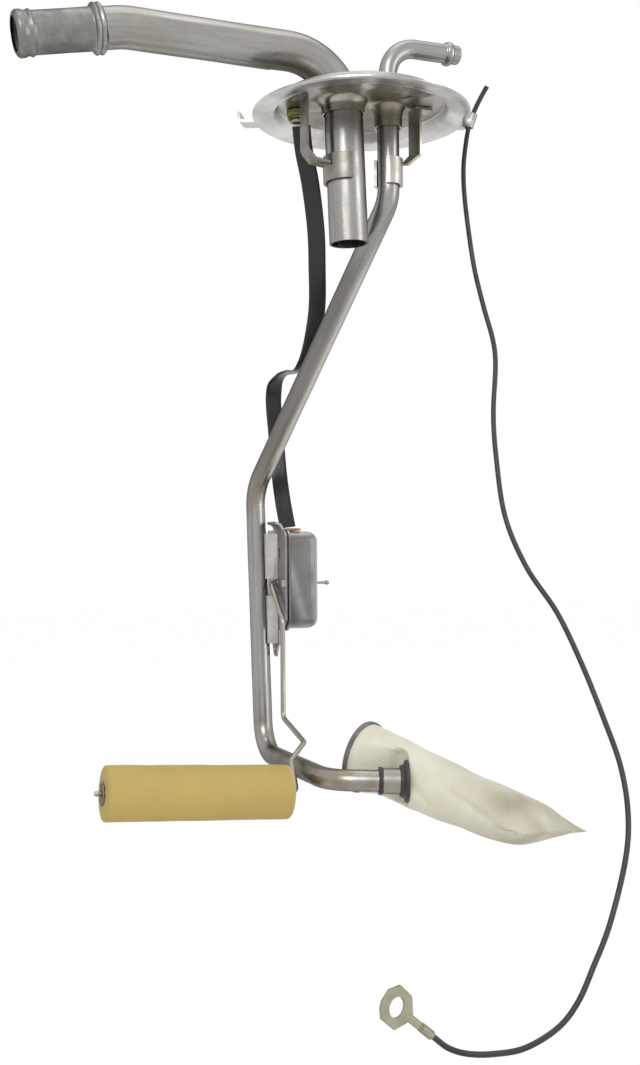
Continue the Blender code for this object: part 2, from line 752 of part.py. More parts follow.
def make_terminal():
    plate_top = RECESS_RISE + SHEET
    centre = STUD_PLACE
    bore = STUD_RADIUS + GAP
    low = RECESS_RISE - GAP - INSULATOR_DROP
    lower = [
        (bore, plate_top),
        (INSULATOR_NECK, plate_top),
        (INSULATOR_NECK, RECESS_RISE - GAP),
        (INSULATOR_RADIUS, RECESS_RISE - GAP),
        (INSULATOR_RADIUS, low + 0.0008),
        (INSULATOR_RADIUS - 0.0008, low),
        (bore, low),
    ]
    turned("lower_insulator", lower, OLIVE_PLASTIC, Matrix.Translation(centre), 24, closed=True)
    washer_low = plate_top + GAP
    washer_top = washer_low + INSULATOR_WASHER
    ring(
        "upper_insulator",
        centre + Vector((0, 0, washer_low)),
        centre + Vector((0, 0, washer_top)),
        bore,
        INSULATOR_RADIUS,
        OLIVE_PLASTIC,
        24,
    )
    eyelet_top = low - GAP
    ring(
        "lead_eyelet",
        centre + Vector((0, 0, eyelet_top - EYELET)),
        centre + Vector((0, 0, eyelet_top)),
        bore,
        EYELET_RADIUS,
        BRASS,
        24,
    )
    head_top = eyelet_top - EYELET - GAP
    head = [
        (0, head_top + STUD_LENGTH),
        (STUD_RADIUS - 0.0004, head_top + STUD_LENGTH),
        (STUD_RADIUS, head_top + STUD_LENGTH - 0.0004),
        (STUD_RADIUS, head_top),
        (STUD_HEAD_RADIUS, head_top),
        (STUD_HEAD_RADIUS, head_top - STUD_HEAD * 0.6),
        (STUD_HEAD_RADIUS - 0.0007, head_top - STUD_HEAD),
        (0, head_top - STUD_HEAD),
    ]
    turned("terminal_stud", head, ZINC_STEEL, Matrix.Translation(centre), 24)
    nut_low = washer_top + GAP
    nut = turned(
        "terminal_nut",
        [
            (bore, nut_low + NUT_HEIGHT),
            (NUT_ACROSS / 2 / math.cos(math.radians(30)), nut_low + NUT_HEIGHT),
            (NUT_ACROSS / 2 / math.cos(math.radians(30)), nut_low),
            (bore, nut_low),
        ],
        ZINC_STEEL,
        Matrix.Translation(centre),
        6,
        closed=True,
    )
    return nut


make_terminal()


# Sender bracket, can and what is in it


def make_bracket():
    """A stamped plate beside the can, two saddles that wrap the back of the tube, ears and a pointed tail."""
    front = PIVOT.y - CAN_HALF_WIDTH + 0.0012
    back = PIVOT.y + CAN_HALF_WIDTH - 0.0005
    low, top = CAN_TOP - CAN_HEIGHT, CAN_TOP + 0.0008
    sideways = Matrix((
        (0, 0, 1, PLATE_FACE - PLATE / 2),
        (1, 0, 0, 0),
        (0, 1, 0, 0),
        (0, 0, 0, 1),
    ))
    tail = low - TAIL_DROP
    outline = [
        (front, top - 0.0040),
        (front + 0.0012, top - 0.0012),
        (front + 0.0040, top),
        (back, top),
        (back, low),
        (PIVOT.y + 0.0080, low - 0.0010),
        (PIVOT.y + 0.0080, tail),
        (PIVOT.y + 0.0050, tail - TAIL_POINT + 0.0008),
        (PIVOT.y + 0.0020, tail - TAIL_POINT),
        (PIVOT.y - 0.0010, tail - 0.0010),
        (PIVOT.y - 0.0035, tail),
        (PIVOT.y - 0.0035, low - 0.0010),
        (front + 0.0040, low),
        (front, low + 0.0040),
    ]
    bracket = plate("sender_bracket", outline, PLATE, BRACKET_STEEL, sideways)
    saddles = (("upper", CAN_TOP - 0.0010, PIVOT.z + 0.0022), ("lower", PIVOT.z - 0.0062, tail))
    for name, band_top, band_low in saddles:
        for helper in bracket_saddle(name, band_top, band_low):
            combine(bracket, helper, "UNION")
    middle = PLATE_FACE - PLATE / 2
    ear = [
        (middle, top - EAR_RISE),
        (middle - EAR_REACH * 0.05, top + EAR_RISE * 0.1),
        (middle - EAR_REACH * 0.38, top + EAR_RISE * 0.72),
        (middle - EAR_REACH, top + EAR_RISE),
    ]
    upright = Matrix.Translation((0, PIVOT.y - 0.0030, 0)) @ Matrix.Rotation(math.radians(90), 4, "X")
    combine(bracket, strip("bracket_ear", ear, EAR_WIDTH, PLATE, BRACKET_STEEL, upright), "UNION")
    stop = box(
        "bracket_stop",
        (PLATE_FACE - PLATE - 0.0017, front - 0.0002, PIVOT.z - 0.0016),
        (PLATE_FACE - PLATE / 2, front + 0.0022, PIVOT.z + 0.0016),
        BRACKET_STEEL,
    )
    combine(bracket, stop, "UNION")
    along = Vector((0.01, 0, 0))
    hole = cylinder("bracket_hole", PIVOT, PIVOT + along, SHAFT_RADIUS + GAP, BRACKET_STEEL, 24)
    combine(bracket, hole, "DIFFERENCE")
    slot_place = Vector((PIVOT.x, PIVOT.y - 0.0045, PIVOT.z + 0.0150))
    slot = box(
        "bracket_slot",
        slot_place - Vector((0, 0.0010, 0.0024)),
        slot_place + Vector((0.01, 0.0010, 0.0024)),
        BRACKET_STEEL,
    )
    combine(bracket, slot, "DIFFERENCE")
    eye = Vector((PIVOT.x, PIVOT.y + 0.0028, tail - 0.0030))
    combine(bracket, cylinder("tail_hole", eye, eye + along, 0.0013, BRACKET_STEEL, 16), "DIFFERENCE")
    return bracket


def bracket_saddle(name, top, low):
    """A wrap round the back of the tube, and the oblique web that joins it to the plate."""
    height = top - low
    middle = tube_centre(FUEL_ELBOW, FUEL_BACK, (top + low) / 2)
    frame = Matrix.Translation(middle) @ lean(FUEL_BACK - FUEL_ELBOW)
    radius = FUEL_RADIUS + GAP + PLATE / 2
    wrap = strip(name + "_wrap", arc(radius, WRAP_START, WRAP_END, 14), height, PLATE, BRACKET_STEEL, frame)
    start = arc(radius, WRAP_START, WEB_END, 2)
    plate_x = PLATE_FACE - PLATE / 2 - middle.x
    web_path = [(plate_x, start[0][1] - 0.0022), (start[0][0] + 0.0006, start[0][1] - 0.0003), start[1]]
    web = strip(name + "_web", web_path, height, PLATE, BRACKET_STEEL, Matrix.Translation(middle))
    bridge = box(
        name + "_bridge",
        (middle.x + radius - 0.0002, middle.y - 0.0030, low + 0.0008),
        (PLATE_FACE - PLATE / 2, middle.y + 0.0030, top - 0.0008),
        BRACKET_STEEL,
    )
    return wrap, web, bridge


def rounded_rectangle(half_width, half_height, radius, steps):
    points = []
    for quarter, (sy, sz) in enumerate(((1, 1), (-1, 1), (-1, -1), (1, -1))):
        centre = (sy * (half_width - radius), sz * (half_height - radius))
        start = math.radians(90 * quarter)
        points += arc(radius, start, start + math.radians(90), steps, centre)
    return points


def make_can():
    """A drawn box that is open towards the bracket, with a rim, and a hole for the shaft's end."""
    rim = PLATE_FACE + GAP + CAN_SHEET
    depth = CAN_DEPTH - CAN_SHEET
    middle = Vector((rim, PIVOT.y, CAN_TOP - CAN_HEIGHT / 2))
    mesh = bpy.data.meshes.new("sender_can")
    shape = bmesh.new()
    steps = 4

    def loop(x, inset):
        radius = max(CAN_CORNER - inset, CAN_CORNER * 0.25)
        outline = rounded_rectangle(CAN_HALF_WIDTH - inset, CAN_HEIGHT / 2 - inset, radius, steps)
        return [shape.verts.new(middle + Vector((x, y, z))) for y, z in outline]

    stations = [(0, -CAN_RIM), (0, 0), (depth - CAN_CORNER, 0)]
    for i in range(1, 5):
        angle = math.radians(90) * i / 4
        drop = CAN_CORNER * (1 - math.sin(angle))
        stations.append((depth - drop, CAN_CORNER * (1 - math.cos(angle)) * 0.92))
    loops = [loop(x, inset) for x, inset in stations]
    for first, second in zip(loops, loops[1:]):
        for i in range(len(first)):
            k = (i + 1) % len(first)
            shape.faces.new((first[i], first[k], second[k], second[i]))
    shape.faces.new(loops[-1])
    shape.to_mesh(mesh)
    shape.free()
    can = link(bpy.data.objects.new("sender_can", mesh), BRACKET_STEEL)
    wall = can.modifiers.new("sheet", "SOLIDIFY")
    wall.thickness = CAN_SHEET
    wall.offset = -1
    wall.use_even_offset = True
    hole_start = Vector((rim + depth - 0.0030, PIVOT.y, PIVOT.z))
    hole = cylinder(
        "can_hole", hole_start, hole_start + Vector((0.01, 0, 0)), SHAFT_STUB_RADIUS + GAP, BRACKET_STEEL, 20
    )
    combine(can, hole, "DIFFERENCE")
    return smooth(can)


def make_resistor():
    """The card behind the plate that carries the winding, with the wiper that the shaft turns."""
    face = PLATE_FACE + GAP
    card = box(
        "resistor_card",
        (face, PIVOT.y - CARD_FRONT, PIVOT.z + CARD_LOW),
        (face + BOARD, PIVOT.y + CARD_FRONT, PIVOT.z + CARD_HIGH),
        PHENOLIC,
    )
    winding = box(
        "resistance_winding",
        (face + BOARD + GAP, WINDING_MARGIN + PIVOT.y - CARD_FRONT, PIVOT.z + CARD_LOW + WINDING_MARGIN),
        (
            face + BOARD + GAP + WINDING_WALL,
            PIVOT.y + CARD_FRONT - WINDING_MARGIN,
            PIVOT.z + CARD_HIGH - WINDING_MARGIN,
        ),
        BRASS,
    )
    return card, winding


def make_shaft():
    """The pivot shaft from the arm through the plate and the can, with its slimmer end outside."""
    start = PIVOT.x + 0.0026
    closed_end = PLATE_FACE + GAP + CAN_DEPTH
    shoulder = closed_end - CAN_SHEET - GAP - start
    length = closed_end + SHAFT_STUB - start
    profile = [
        (0, length),
        (SHAFT_STUB_RADIUS - 0.0003, length),
        (SHAFT_STUB_RADIUS, length - 0.0004),
        (SHAFT_STUB_RADIUS, shoulder),
        (SHAFT_RADIUS, shoulder),
        (SHAFT_RADIUS, 0),
        (0, 0),
    ]
    frame = frame_along(Vector((start, PIVOT.y, PIVOT.z)), Vector((1, 0, 0)))
    return smooth(turned("pivot_shaft", profile, ZINC_STEEL, frame, 20))


def make_wiper():
    """A hub on the shaft and the spring finger that bears on the winding."""
    low = PLATE_FACE + BOARD + WINDING_WALL + 3 * GAP
    start = Vector((low + WIPER + GAP, PIVOT.y, PIVOT.z))
    end = start + Vector((HUB_LENGTH, 0, 0))
    ring("wiper_hub", start, end, SHAFT_RADIUS + GAP, HUB_RADIUS, OLIVE_PLASTIC, 20)
    outline = [
        (-HUB_RADIUS, -HUB_RADIUS),
        (HUB_RADIUS, -HUB_RADIUS),
        (HUB_RADIUS, HUB_RADIUS),
        (0.0012, HUB_RADIUS * 2),
        (0.0009, WIPER_REACH),
        (-0.0009, WIPER_REACH),
        (-0.0012, HUB_RADIUS * 2),
        (-HUB_RADIUS, HUB_RADIUS),
    ]
    sideways = Matrix(((0, 0, 1, low + WIPER / 2), (1, 0, 0, PIVOT.y), (0, 1, 0, PIVOT.z), (0, 0, 0, 1)))
    wiper = plate("wiper", outline, WIPER, BRASS, sideways @ Matrix.Rotation(-WIPER_REST, 4, "Z"))
    along = Vector((0.02, 0, 0))
    hole = cylinder("wiper_hole", PIVOT, PIVOT + along, SHAFT_RADIUS + GAP, BRASS, 20)
    combine(wiper, hole, "DIFFERENCE")
    return wiper


def make_lead_board():
    """The insulating board on the can's top where the flat lead ends."""
    low = CAN_TOP + GAP
    front = PLATE_FACE + CAN_SHEET + 2 * GAP
    return box(
        "lead_board",
        (front, PIVOT.y + LEAD_BOARD_FRONT, low),
        (front + LEAD_BOARD_WIDTH, PIVOT.y + LEAD_BOARD_BACK, low + BOARD),
        PHENOLIC,
    )


make_bracket()
make_can()
make_resistor()
make_shaft()
make_wiper()
make_lead_board()


# Float arm


def float_frame():
    """The float's right end, with +Z along the float to the left."""
    axis = Vector((-math.cos(FLOAT_TILT), 0, math.sin(FLOAT_TILT)))
    return FLOAT_END, axis


def make_float_rod():
    end, axis = float_frame()
    start = PIVOT + Vector((0.0023, 0, 0))
    crank = PIVOT + Vector((0, -ARM_CRANK, -ARM_CRANK))
    foot = crank - Vector((0, 0, ARM_DROP))
    reach = foot + ARM_REACH
    hook = reach + ARM_HOOK
    entry = end - axis * 0.0040
    tail = end + axis * (FLOAT_LENGTH + ROD_TAIL)
    corners = [start, PIVOT, crank, foot, reach, hook, entry, tail]
    route = filleted(corners, [0.0018, 0.0040, 0.0035, 0.0030, 0.0030, 0.0022], math.radians(24))
    return swept("float_rod", [(point, 1) for point in route], ROD_RADIUS, WIRE_STEEL, 3)


def make_float():
    end, axis = float_frame()
    bore = ROD_RADIUS + GAP
    edge = 0.0008
    profile = [
        (bore, FLOAT_LENGTH),
        (FLOAT_RADIUS - edge, FLOAT_LENGTH),
        (FLOAT_RADIUS, FLOAT_LENGTH - edge),
        (FLOAT_RADIUS, edge),
        (FLOAT_RADIUS - edge, 0),
        (bore, 0),
    ]
    return smooth(turned("float", profile, FOAM, frame_along(end, axis), 40, closed=True))


def make_retainer():
    """A push-on nut with a notched edge on the rod's end."""
    end, axis = float_frame()
    start = end + axis * (FLOAT_LENGTH + GAP)
    frame = frame_along(start + axis * RETAINER / 2, axis)
    outline = []
    points = RETAINER_TEETH * 4
    for i in range(points):
        angle = 2 * math.pi * i / points
        radius = RETAINER_RADIUS if i % 4 < 2 else RETAINER_RADIUS * 0.84
        outline.append((radius * math.cos(angle), radius * math.sin(angle)))
    retainer = plate("float_retainer", outline, RETAINER, WIRE_STEEL, frame)
    far = end + axis * (FLOAT_LENGTH + ARM_CRANK)
    hole = cylinder("retainer_hole", end, far, ROD_RADIUS + GAP, WIRE_STEEL, 16)
    combine(retainer, hole, "DIFFERENCE")
    return retainer


make_float_rod()
make_float()
make_retainer()


# Filter


def make_fitting():
    """The retaining ring on the tube, the barrel over the tube's end and the stepped grommet."""
    direction = (FUEL_END - FUEL_TURN).normalized()
    seat = FUEL_END - direction * TUBE_RING_SET_BACK
    inner = FUEL_RADIUS + GAP
    ring("tube_ring", seat, seat + direction * TUBE_RING, inner, inner + TUBE_RING_WALL, DARK_RUBBER, 24)
    start = seat + direction * (TUBE_RING + GAP)
    barrel_end = FUEL_END + direction * BARREL_OVERLAP
    length = (barrel_end - start).length
    outer = inner + BARREL_WALL
    throat = FUEL_RADIUS - FUEL_WALL
    barrel = [
        (throat, length),
        (outer, length),
        (outer, 0),
        (inner, 0),
        (inner, length - BARREL_LIP),
        (throat, length - BARREL_LIP),
    ]
    turned("filter_fitting", barrel, BRACKET_STEEL, frame_along(start, direction), 24, closed=True)
    grommet_start = barrel_end - direction * GROMMET
    profile = [
        (outer + GAP, GROMMET),
        (GROMMET_RADIUS, GROMMET),
        (GROMMET_RADIUS, GROMMET - GROMMET_FLANGE),
        (GROMMET_RADIUS * 0.78, GROMMET - GROMMET_FLANGE * 1.5),
        (GROMMET_RADIUS * 0.74, 0),
        (outer + GAP, 0),
    ]
    turned("filter_grommet", profile, DARK_RUBBER, frame_along(grommet_start, direction), 32, closed=True)
    return barrel_end, direction


# Shares along the bag: distance, width and height against the ring's radius, and how far the middle sinks
SOCK_SECTIONS = (
    (0.000, 1.00, 1.00, 0.000),
    (0.125, 1.00, 0.96, 0.038),
    (0.310, 1.02, 0.85, 0.128),
    (0.515, 1.08, 0.74, 0.230),
    (0.685, 1.17, 0.66, 0.295),
    (0.800, 1.27, 0.56, 0.333),
    (0.895, 1.37, 0.38, 0.346),
    (0.955, 1.44, 0.14, 0.340),
    (1.000, 1.47, 0.05, 0.333),
)


def make_sock(barrel_end, direction):
    """The filter bag: a coarse cage of flattening sections, smoothed, with the grommet's pocket cut in."""
    across = SOCK_AXIS.cross(Vector((0, 0, 1))).normalized()
    upward = across.cross(SOCK_AXIS).normalized()
    mesh = bpy.data.meshes.new("filter_sock")
    shape = bmesh.new()
    loops = []
    sides = 12
    for share, wide, tall, sink in SOCK_SECTIONS:
        centre = SOCK_START + SOCK_AXIS * share * SOCK_LENGTH - upward * sink * SOCK_RADIUS
        turned_across = across + (SOCK_AXIS * SOCK_SEAM_SKEW - upward * SOCK_SEAM_LIFT) * -(share**2)
        loop = []
        for i in range(sides):
            angle = 2 * math.pi * i / sides
            offset = turned_across * math.cos(angle) * wide + upward * math.sin(angle) * tall
            loop.append(shape.verts.new(centre + offset * SOCK_RADIUS))
        loops.append(loop)
    for first, second in zip(loops, loops[1:]):
        for i in range(sides):
            k = (i + 1) % sides
            shape.faces.new((first[i], first[k], second[k], second[i]))
    shape.faces.new(loops[0])
    shape.faces.new(loops[-1])
    bmesh.ops.recalc_face_normals(shape, faces=shape.faces)
    shape.to_mesh(mesh)
    shape.free()
    sock = link(bpy.data.objects.new("filter_sock", mesh), NYLON_SOCK)
    crease = mesh.attributes.new("crease_edge", "FLOAT", "EDGE")
    for edge in mesh.edges:
        if max(edge.vertices) < sides:
            crease.data[edge.index].value = 1
    soft = sock.modifiers.new("soft", "SUBSURF")
    soft.levels = soft.render_levels = 1
    pocket_start = barrel_end - direction * POCKET_REACH
    pocket = cylinder(
        "grommet_pocket", pocket_start, barrel_end + direction * GAP, GROMMET_RADIUS + GAP, NYLON_SOCK, 32
    )
    combine(sock, pocket, "DIFFERENCE")
    return smooth(sock, 60)


def make_sock_ring():
    """The stiff ring that holds the closed end of the bag open."""
    start = SOCK_START - SOCK_AXIS * 0.0006
    inner = SOCK_RADIUS * SOCK_DRAW_IN + GAP
    return ring(
        "sock_ring", start, start + SOCK_AXIS * SOCK_RING, inner, inner + SOCK_RING_WALL, GREY_PLASTIC, 40
    )


make_sock(*make_fitting())
make_sock_ring()


# Flat lead

# Each point of the ribbon's middle with the direction that its width takes there
FACING = Vector((0.94, -0.34, 0))
TURNING = Vector((0.85, 0.20, 0))
SIDEWAYS = Vector((0.60, 0.80, 0))
LEAD_ROUTE = (
    (STUD_PLACE + Vector((0.0022, 0.0010, -0.0004)), FACING),
    (Vector((-0.0190, 0.0205, -0.0100)), FACING),
    (Vector((-0.0140, 0.0260, -0.0235)), FACING),
    (Vector((-0.0076, 0.0371, -0.0402)), FACING),
    (Vector((-0.0037, 0.0466, -0.0552)), FACING),
    (Vector((0.0004, 0.0582, -0.0703)), FACING),
    (Vector((0.0010, 0.0662, -0.0840)), FACING),
    (Vector((0.0004, 0.0712, -0.0925)), FACING),
    (Vector((-0.0003, 0.0758, -0.0968)), FACING),
    (Vector((-0.0006, 0.0820, -0.0979)), TURNING),
    (Vector((-0.0013, 0.0920, -0.0969)), SIDEWAYS),
    (Vector((-0.0030, 0.1015, -0.0972)), SIDEWAYS),
    (Vector((-0.0040, 0.1085, -0.1002)), TURNING),
    (Vector((-0.0036, 0.1130, -0.1063)), FACING),
    (Vector((-0.0028, 0.1150, -0.1132)), FACING),
    (Vector((-0.0013, 0.1168, -0.1232)), FACING),
    (Vector((-0.0005, 0.1165, -0.1360)), FACING),
    (Vector((-0.0004, 0.1135, -0.1480)), FACING),
    (Vector((-0.0006, 0.1075, -0.1610)), FACING),
    (PIVOT + Vector((0.0072, -0.0050, CAN_ABOVE_PIVOT + BOARD + 0.0010)), FACING),
)


def make_flat_lead():
    """A ribbon from the flange terminal to the can, with the turns of a bent flat cable."""
    places = smooth_route([place for place, _ in LEAD_ROUTE], 4)
    widths = smooth_route([width for _, width in LEAD_ROUTE], 4)
    mesh = bpy.data.meshes.new("flat_lead")
    shape = bmesh.new()
    rows = []
    for place, width in zip(places, widths):
        half = width.normalized() * LEAD_WIDTH / 2
        rows.append((shape.verts.new(place - half), shape.verts.new(place + half)))
    for (a, b), (c, d) in zip(rows, rows[1:]):
        shape.faces.new((a, b, d, c))
    shape.to_mesh(mesh)
    shape.free()
    lead = link(bpy.data.objects.new("flat_lead", mesh), BLACK_PVC)
    sheet = lead.modifiers.new("sheet", "SOLIDIFY")
    sheet.thickness = LEAD_THICKNESS
    sheet.offset = 0
    return lead


make_flat_lead()


# Ground wire

def terminal_frame():
    """The ring terminal's own frame: +X towards the wire, +Z off the plate."""
    facing = Matrix.Rotation(TERMINAL_FACING, 4, "Z") @ Matrix.Rotation(math.radians(90), 4, "X")
    tilt = Matrix.Rotation(TERMINAL_TILT, 4, "Y")
    turn = Matrix.Rotation(TERMINAL_TURN, 4, "Z")
    return Matrix.Translation(TERMINAL_CENTRE) @ facing @ tilt @ turn


WIRE_ROUTE = (
    Vector((0.0572, -0.0064, 0.0182)),
    Vector((0.0552, -0.0040, 0.0136)),
    Vector((0.0532, -0.0014, 0.0080)),
    Vector((0.0512, 0.0000, 0.0010)),
    Vector((0.0493, -0.0005, -0.0080)),
    Vector((0.0478, -0.0015, -0.0180)),
    Vector((0.0468, -0.0043, -0.0310)),
    Vector((0.0466, -0.0092, -0.0506)),
    Vector((0.0472, -0.0130, -0.0660)),
    Vector((0.0485, -0.0185, -0.0826)),
    Vector((0.0500, -0.0235, -0.0970)),
    Vector((0.0492, -0.0272, -0.1085)),
    Vector((0.0458, -0.0314, -0.1290)),
    Vector((0.0440, -0.0368, -0.1473)),
    Vector((0.0437, -0.0446, -0.1724)),
    Vector((0.0484, -0.0533, -0.1931)),
    Vector((0.0564, -0.0635, -0.2114)),
    Vector((0.0614, -0.0731, -0.2309)),
    Vector((0.0652, -0.0826, -0.2516)),
    Vector((0.0672, -0.0904, -0.2682)),
    Vector((0.0660, -0.0970, -0.2843)),
    Vector((0.0614, -0.1023, -0.2999)),
    Vector((0.0511, -0.1077, -0.3211)),
    Vector((0.0420, -0.1108, -0.3350)),
    Vector((0.0342, -0.1131, -0.3458)),
    Vector((0.0252, -0.1144, -0.3533)),
    Vector((0.0122, -0.1146, -0.3584)),
    Vector((0.0003, -0.1130, -0.3594)),
    Vector((-0.0078, -0.1100, -0.3592)),
    Vector((-0.0136, -0.1080, -0.3573)),
)


def make_ground_wire():
    mouth = terminal_frame() @ Vector((TERMINAL_NECK + TERMINAL_BARREL, 0, 0))
    direction = (mouth - TERMINAL_CENTRE).normalized()
    points = smooth_route([*WIRE_ROUTE, mouth + direction * 0.0030], 2)
    points.append(mouth + direction * GAP)
    return swept("ground_wire", [(point, 1) for point in points], WIRE_RADIUS, BLACK_PVC, 2)


def make_ground_crimp():
    """The crimp at the ground tab: a part tube that grips the wire, with a foot on the tab."""
    low, high = WIRE_ROUTE[3], WIRE_ROUTE[2]
    direction = (high - low).normalized()
    middle = low + direction * (CRIMP_START + CRIMP_LENGTH / 2)
    inner = WIRE_RADIUS + GAP + CRIMP_WALL / 2
    path = arc(inner, math.radians(100), math.radians(430), 16)
    frame = Matrix.Translation(middle) @ lean(direction)
    crimp = strip("ground_crimp", path, CRIMP_LENGTH, CRIMP_WALL, ZINC_STEEL, frame)
    on_tab = Matrix.Rotation(GROUND_TAB_ANGLE, 4, "Z")
    wire_side = on_tab.inverted() @ (low + direction * CRIMP_START)
    seat = SHEET + GAP
    foot = box(
        "crimp_foot",
        (wire_side.x - CRIMP_FOOT, wire_side.y - CRIMP_FOOT_WIDTH / 2, seat),
        (wire_side.x - inner, wire_side.y + CRIMP_FOOT_WIDTH / 2, seat + CRIMP_WALL),
        ZINC_STEEL,
    )
    foot.matrix_world = on_tab
    combine(crimp, foot, "UNION")
    return crimp


def make_ring_terminal():
    frame = terminal_frame()
    outline = []
    for degrees in TERMINAL_CORNERS:
        angle = math.radians(degrees)
        reach = TERMINAL_RADIUS * (1.25 if degrees == TERMINAL_CORNERS[0] else 1)
        outline.append((reach * math.cos(angle), reach * math.sin(angle)))
    terminal = plate("ring_terminal", outline, TERMINAL_SHEET, ZINC_STEEL, frame)
    neck = box(
        "terminal_neck",
        (TERMINAL_RADIUS * 0.8, -TERMINAL_NECK_WIDTH / 2, -TERMINAL_SHEET / 2),
        (TERMINAL_NECK, TERMINAL_NECK_WIDTH / 2, TERMINAL_SHEET / 2),
        ZINC_STEEL,
    )
    neck.matrix_world = frame
    combine(terminal, neck, "UNION")
    start = frame @ Vector((TERMINAL_NECK - 0.0006, 0, 0))
    end = frame @ Vector((TERMINAL_NECK + TERMINAL_BARREL, 0, 0))
    barrel = cylinder("terminal_barrel", start, end, WIRE_RADIUS + CRIMP_WALL, ZINC_STEEL, 16)
    combine(terminal, barrel, "UNION")
    hole_low = frame @ Vector((0, 0, -0.005))
    hole_high = frame @ Vector((0, 0, 0.005))
    hole = cylinder("terminal_hole", hole_low, hole_high, TERMINAL_HOLE, ZINC_STEEL, 24)
    combine(terminal, hole, "DIFFERENCE")
    return terminal


make_ground_wire()
make_ground_crimp()
make_ring_terminal()
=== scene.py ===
"""A fuel level sender in a plain pale studio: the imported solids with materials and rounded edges, and
modelled tubes, float, rod, pivot shaft, sock, ribbon and wire."""

import json
import math

import bmesh
import bpy
from mathutils import Matrix, Vector, noise


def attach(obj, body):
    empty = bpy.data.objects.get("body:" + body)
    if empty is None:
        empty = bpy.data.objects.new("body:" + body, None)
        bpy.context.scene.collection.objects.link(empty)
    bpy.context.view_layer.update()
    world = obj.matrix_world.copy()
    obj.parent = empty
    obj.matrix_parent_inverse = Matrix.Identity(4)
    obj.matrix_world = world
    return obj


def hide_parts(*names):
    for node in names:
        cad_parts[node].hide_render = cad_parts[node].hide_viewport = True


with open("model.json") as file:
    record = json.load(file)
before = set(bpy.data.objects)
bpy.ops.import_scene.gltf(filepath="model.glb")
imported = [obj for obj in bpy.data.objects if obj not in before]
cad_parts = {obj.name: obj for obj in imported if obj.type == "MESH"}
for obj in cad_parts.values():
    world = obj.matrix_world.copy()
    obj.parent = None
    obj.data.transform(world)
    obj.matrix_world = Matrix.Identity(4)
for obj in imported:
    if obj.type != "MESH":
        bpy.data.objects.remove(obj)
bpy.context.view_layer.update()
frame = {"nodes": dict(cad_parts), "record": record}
NODES = frame["nodes"]


class Tree:
    """The node tree of a material or of the world, in the making."""

    def __init__(self, owner):
        owner.use_nodes = True
        self.nodes, self.links = owner.node_tree.nodes, owner.node_tree.links

    def node(self, kind, **inputs):
        """A new node. Each input, by its name with _ for a space, takes a value or another node's output."""
        made = self.nodes.new("ShaderNode" + kind)
        for name, value in inputs.items():
            self.feed(made.inputs[name.replace("_", " ")], value)
        return made

    def feed(self, socket, value):
        if isinstance(value, bpy.types.NodeSocket):
            self.links.new(value, socket)
        elif isinstance(value, tuple):
            socket.default_value = (*value, 1)[: len(socket.default_value)]
        else:
            socket.default_value = value

    def combine(self, operation, first, second):
        made = self.node("Math")
        made.operation = operation
        self.feed(made.inputs[0], first)
        self.feed(made.inputs[1], second)
        return made.outputs[0]

    def times(self, first, second):
        return self.combine("MULTIPLY", first, second)

    def larger(self, first, second):
        return self.combine("MAXIMUM", first, second)

    def put_mixed(self, share, first, second, output):
        """Joins a new output node to first where share is 0 and to second where it is 1."""
        mix = self.node("MixShader", Fac=share)
        self.feed(mix.inputs[1], first.outputs[0])
        self.feed(mix.inputs[2], second.outputs[0])
        self.node(output, Surface=mix.outputs[0])


# Camera and stage

CAMERA_PLACE = Vector((-0.2074, -0.5148, -0.1902))
CAMERA_AZIMUTH = math.radians(-20)
CAMERA_ELEVATION = math.radians(-1.24)
CAMERA_ROLL = math.radians(-0.35)
CAMERA_LENS = 43.94
CAMERA_CLIP = (0.01, 50)
FLOOR_HEIGHT = -0.62
FLOOR_SIZE = 24.0
FLOOR_PAINT = (0.9, 0.9, 0.9)
FLOOR_GLOW_SHARE = 0.9
FLOOR_GLOW = 1.05
WORLD_LIGHT = 0.55
WHITE = (1, 1, 1)
# Name, place, target, size in metres and power in watts of each lamp
LAMPS = (
    ("key", (-0.9, -1.5, 0.9), (0, 0, -0.15), (1.0, 1.0), 17),
    ("fill", (1.3, -1.1, 0.1), (0, 0, -0.2), (0.6, 1.6), 7),
    ("top", (0.1, 0.1, 1.4), (0, 0, -0.2), (1.2, 1.2), 6),
)


def placed(name, data):
    obj = bpy.data.objects.new(name, data)
    bpy.context.scene.collection.objects.link(obj)
    return obj


def make_camera():
    data = bpy.data.cameras.new("camera")
    data.lens = CAMERA_LENS
    data.clip_start, data.clip_end = CAMERA_CLIP
    camera = placed("camera", data)
    a, e = CAMERA_AZIMUTH, CAMERA_ELEVATION
    back = Vector((math.sin(a) * math.cos(e), -math.cos(a) * math.cos(e), math.sin(e)))
    right = Vector((0, 0, 1)).cross(back).normalized()
    up = back.cross(right)
    rolled_right = right * math.cos(CAMERA_ROLL) + up * math.sin(CAMERA_ROLL)
    rolled_up = up * math.cos(CAMERA_ROLL) - right * math.sin(CAMERA_ROLL)
    turn = Matrix((rolled_right, rolled_up, back)).transposed()
    camera.matrix_world = Matrix.Translation(CAMERA_PLACE) @ turn.to_4x4()
    bpy.context.scene.camera = camera


def make_lamp(name, place, target, size, power):
    data = bpy.data.lights.new(name, "AREA")
    data.shape = "RECTANGLE"
    data.size, data.size_y = size
    data.energy = power
    lamp = placed(name, data)
    lamp.location = place
    lamp.rotation_euler = (Vector(target) - Vector(place)).to_track_quat("-Z", "Y").to_euler()


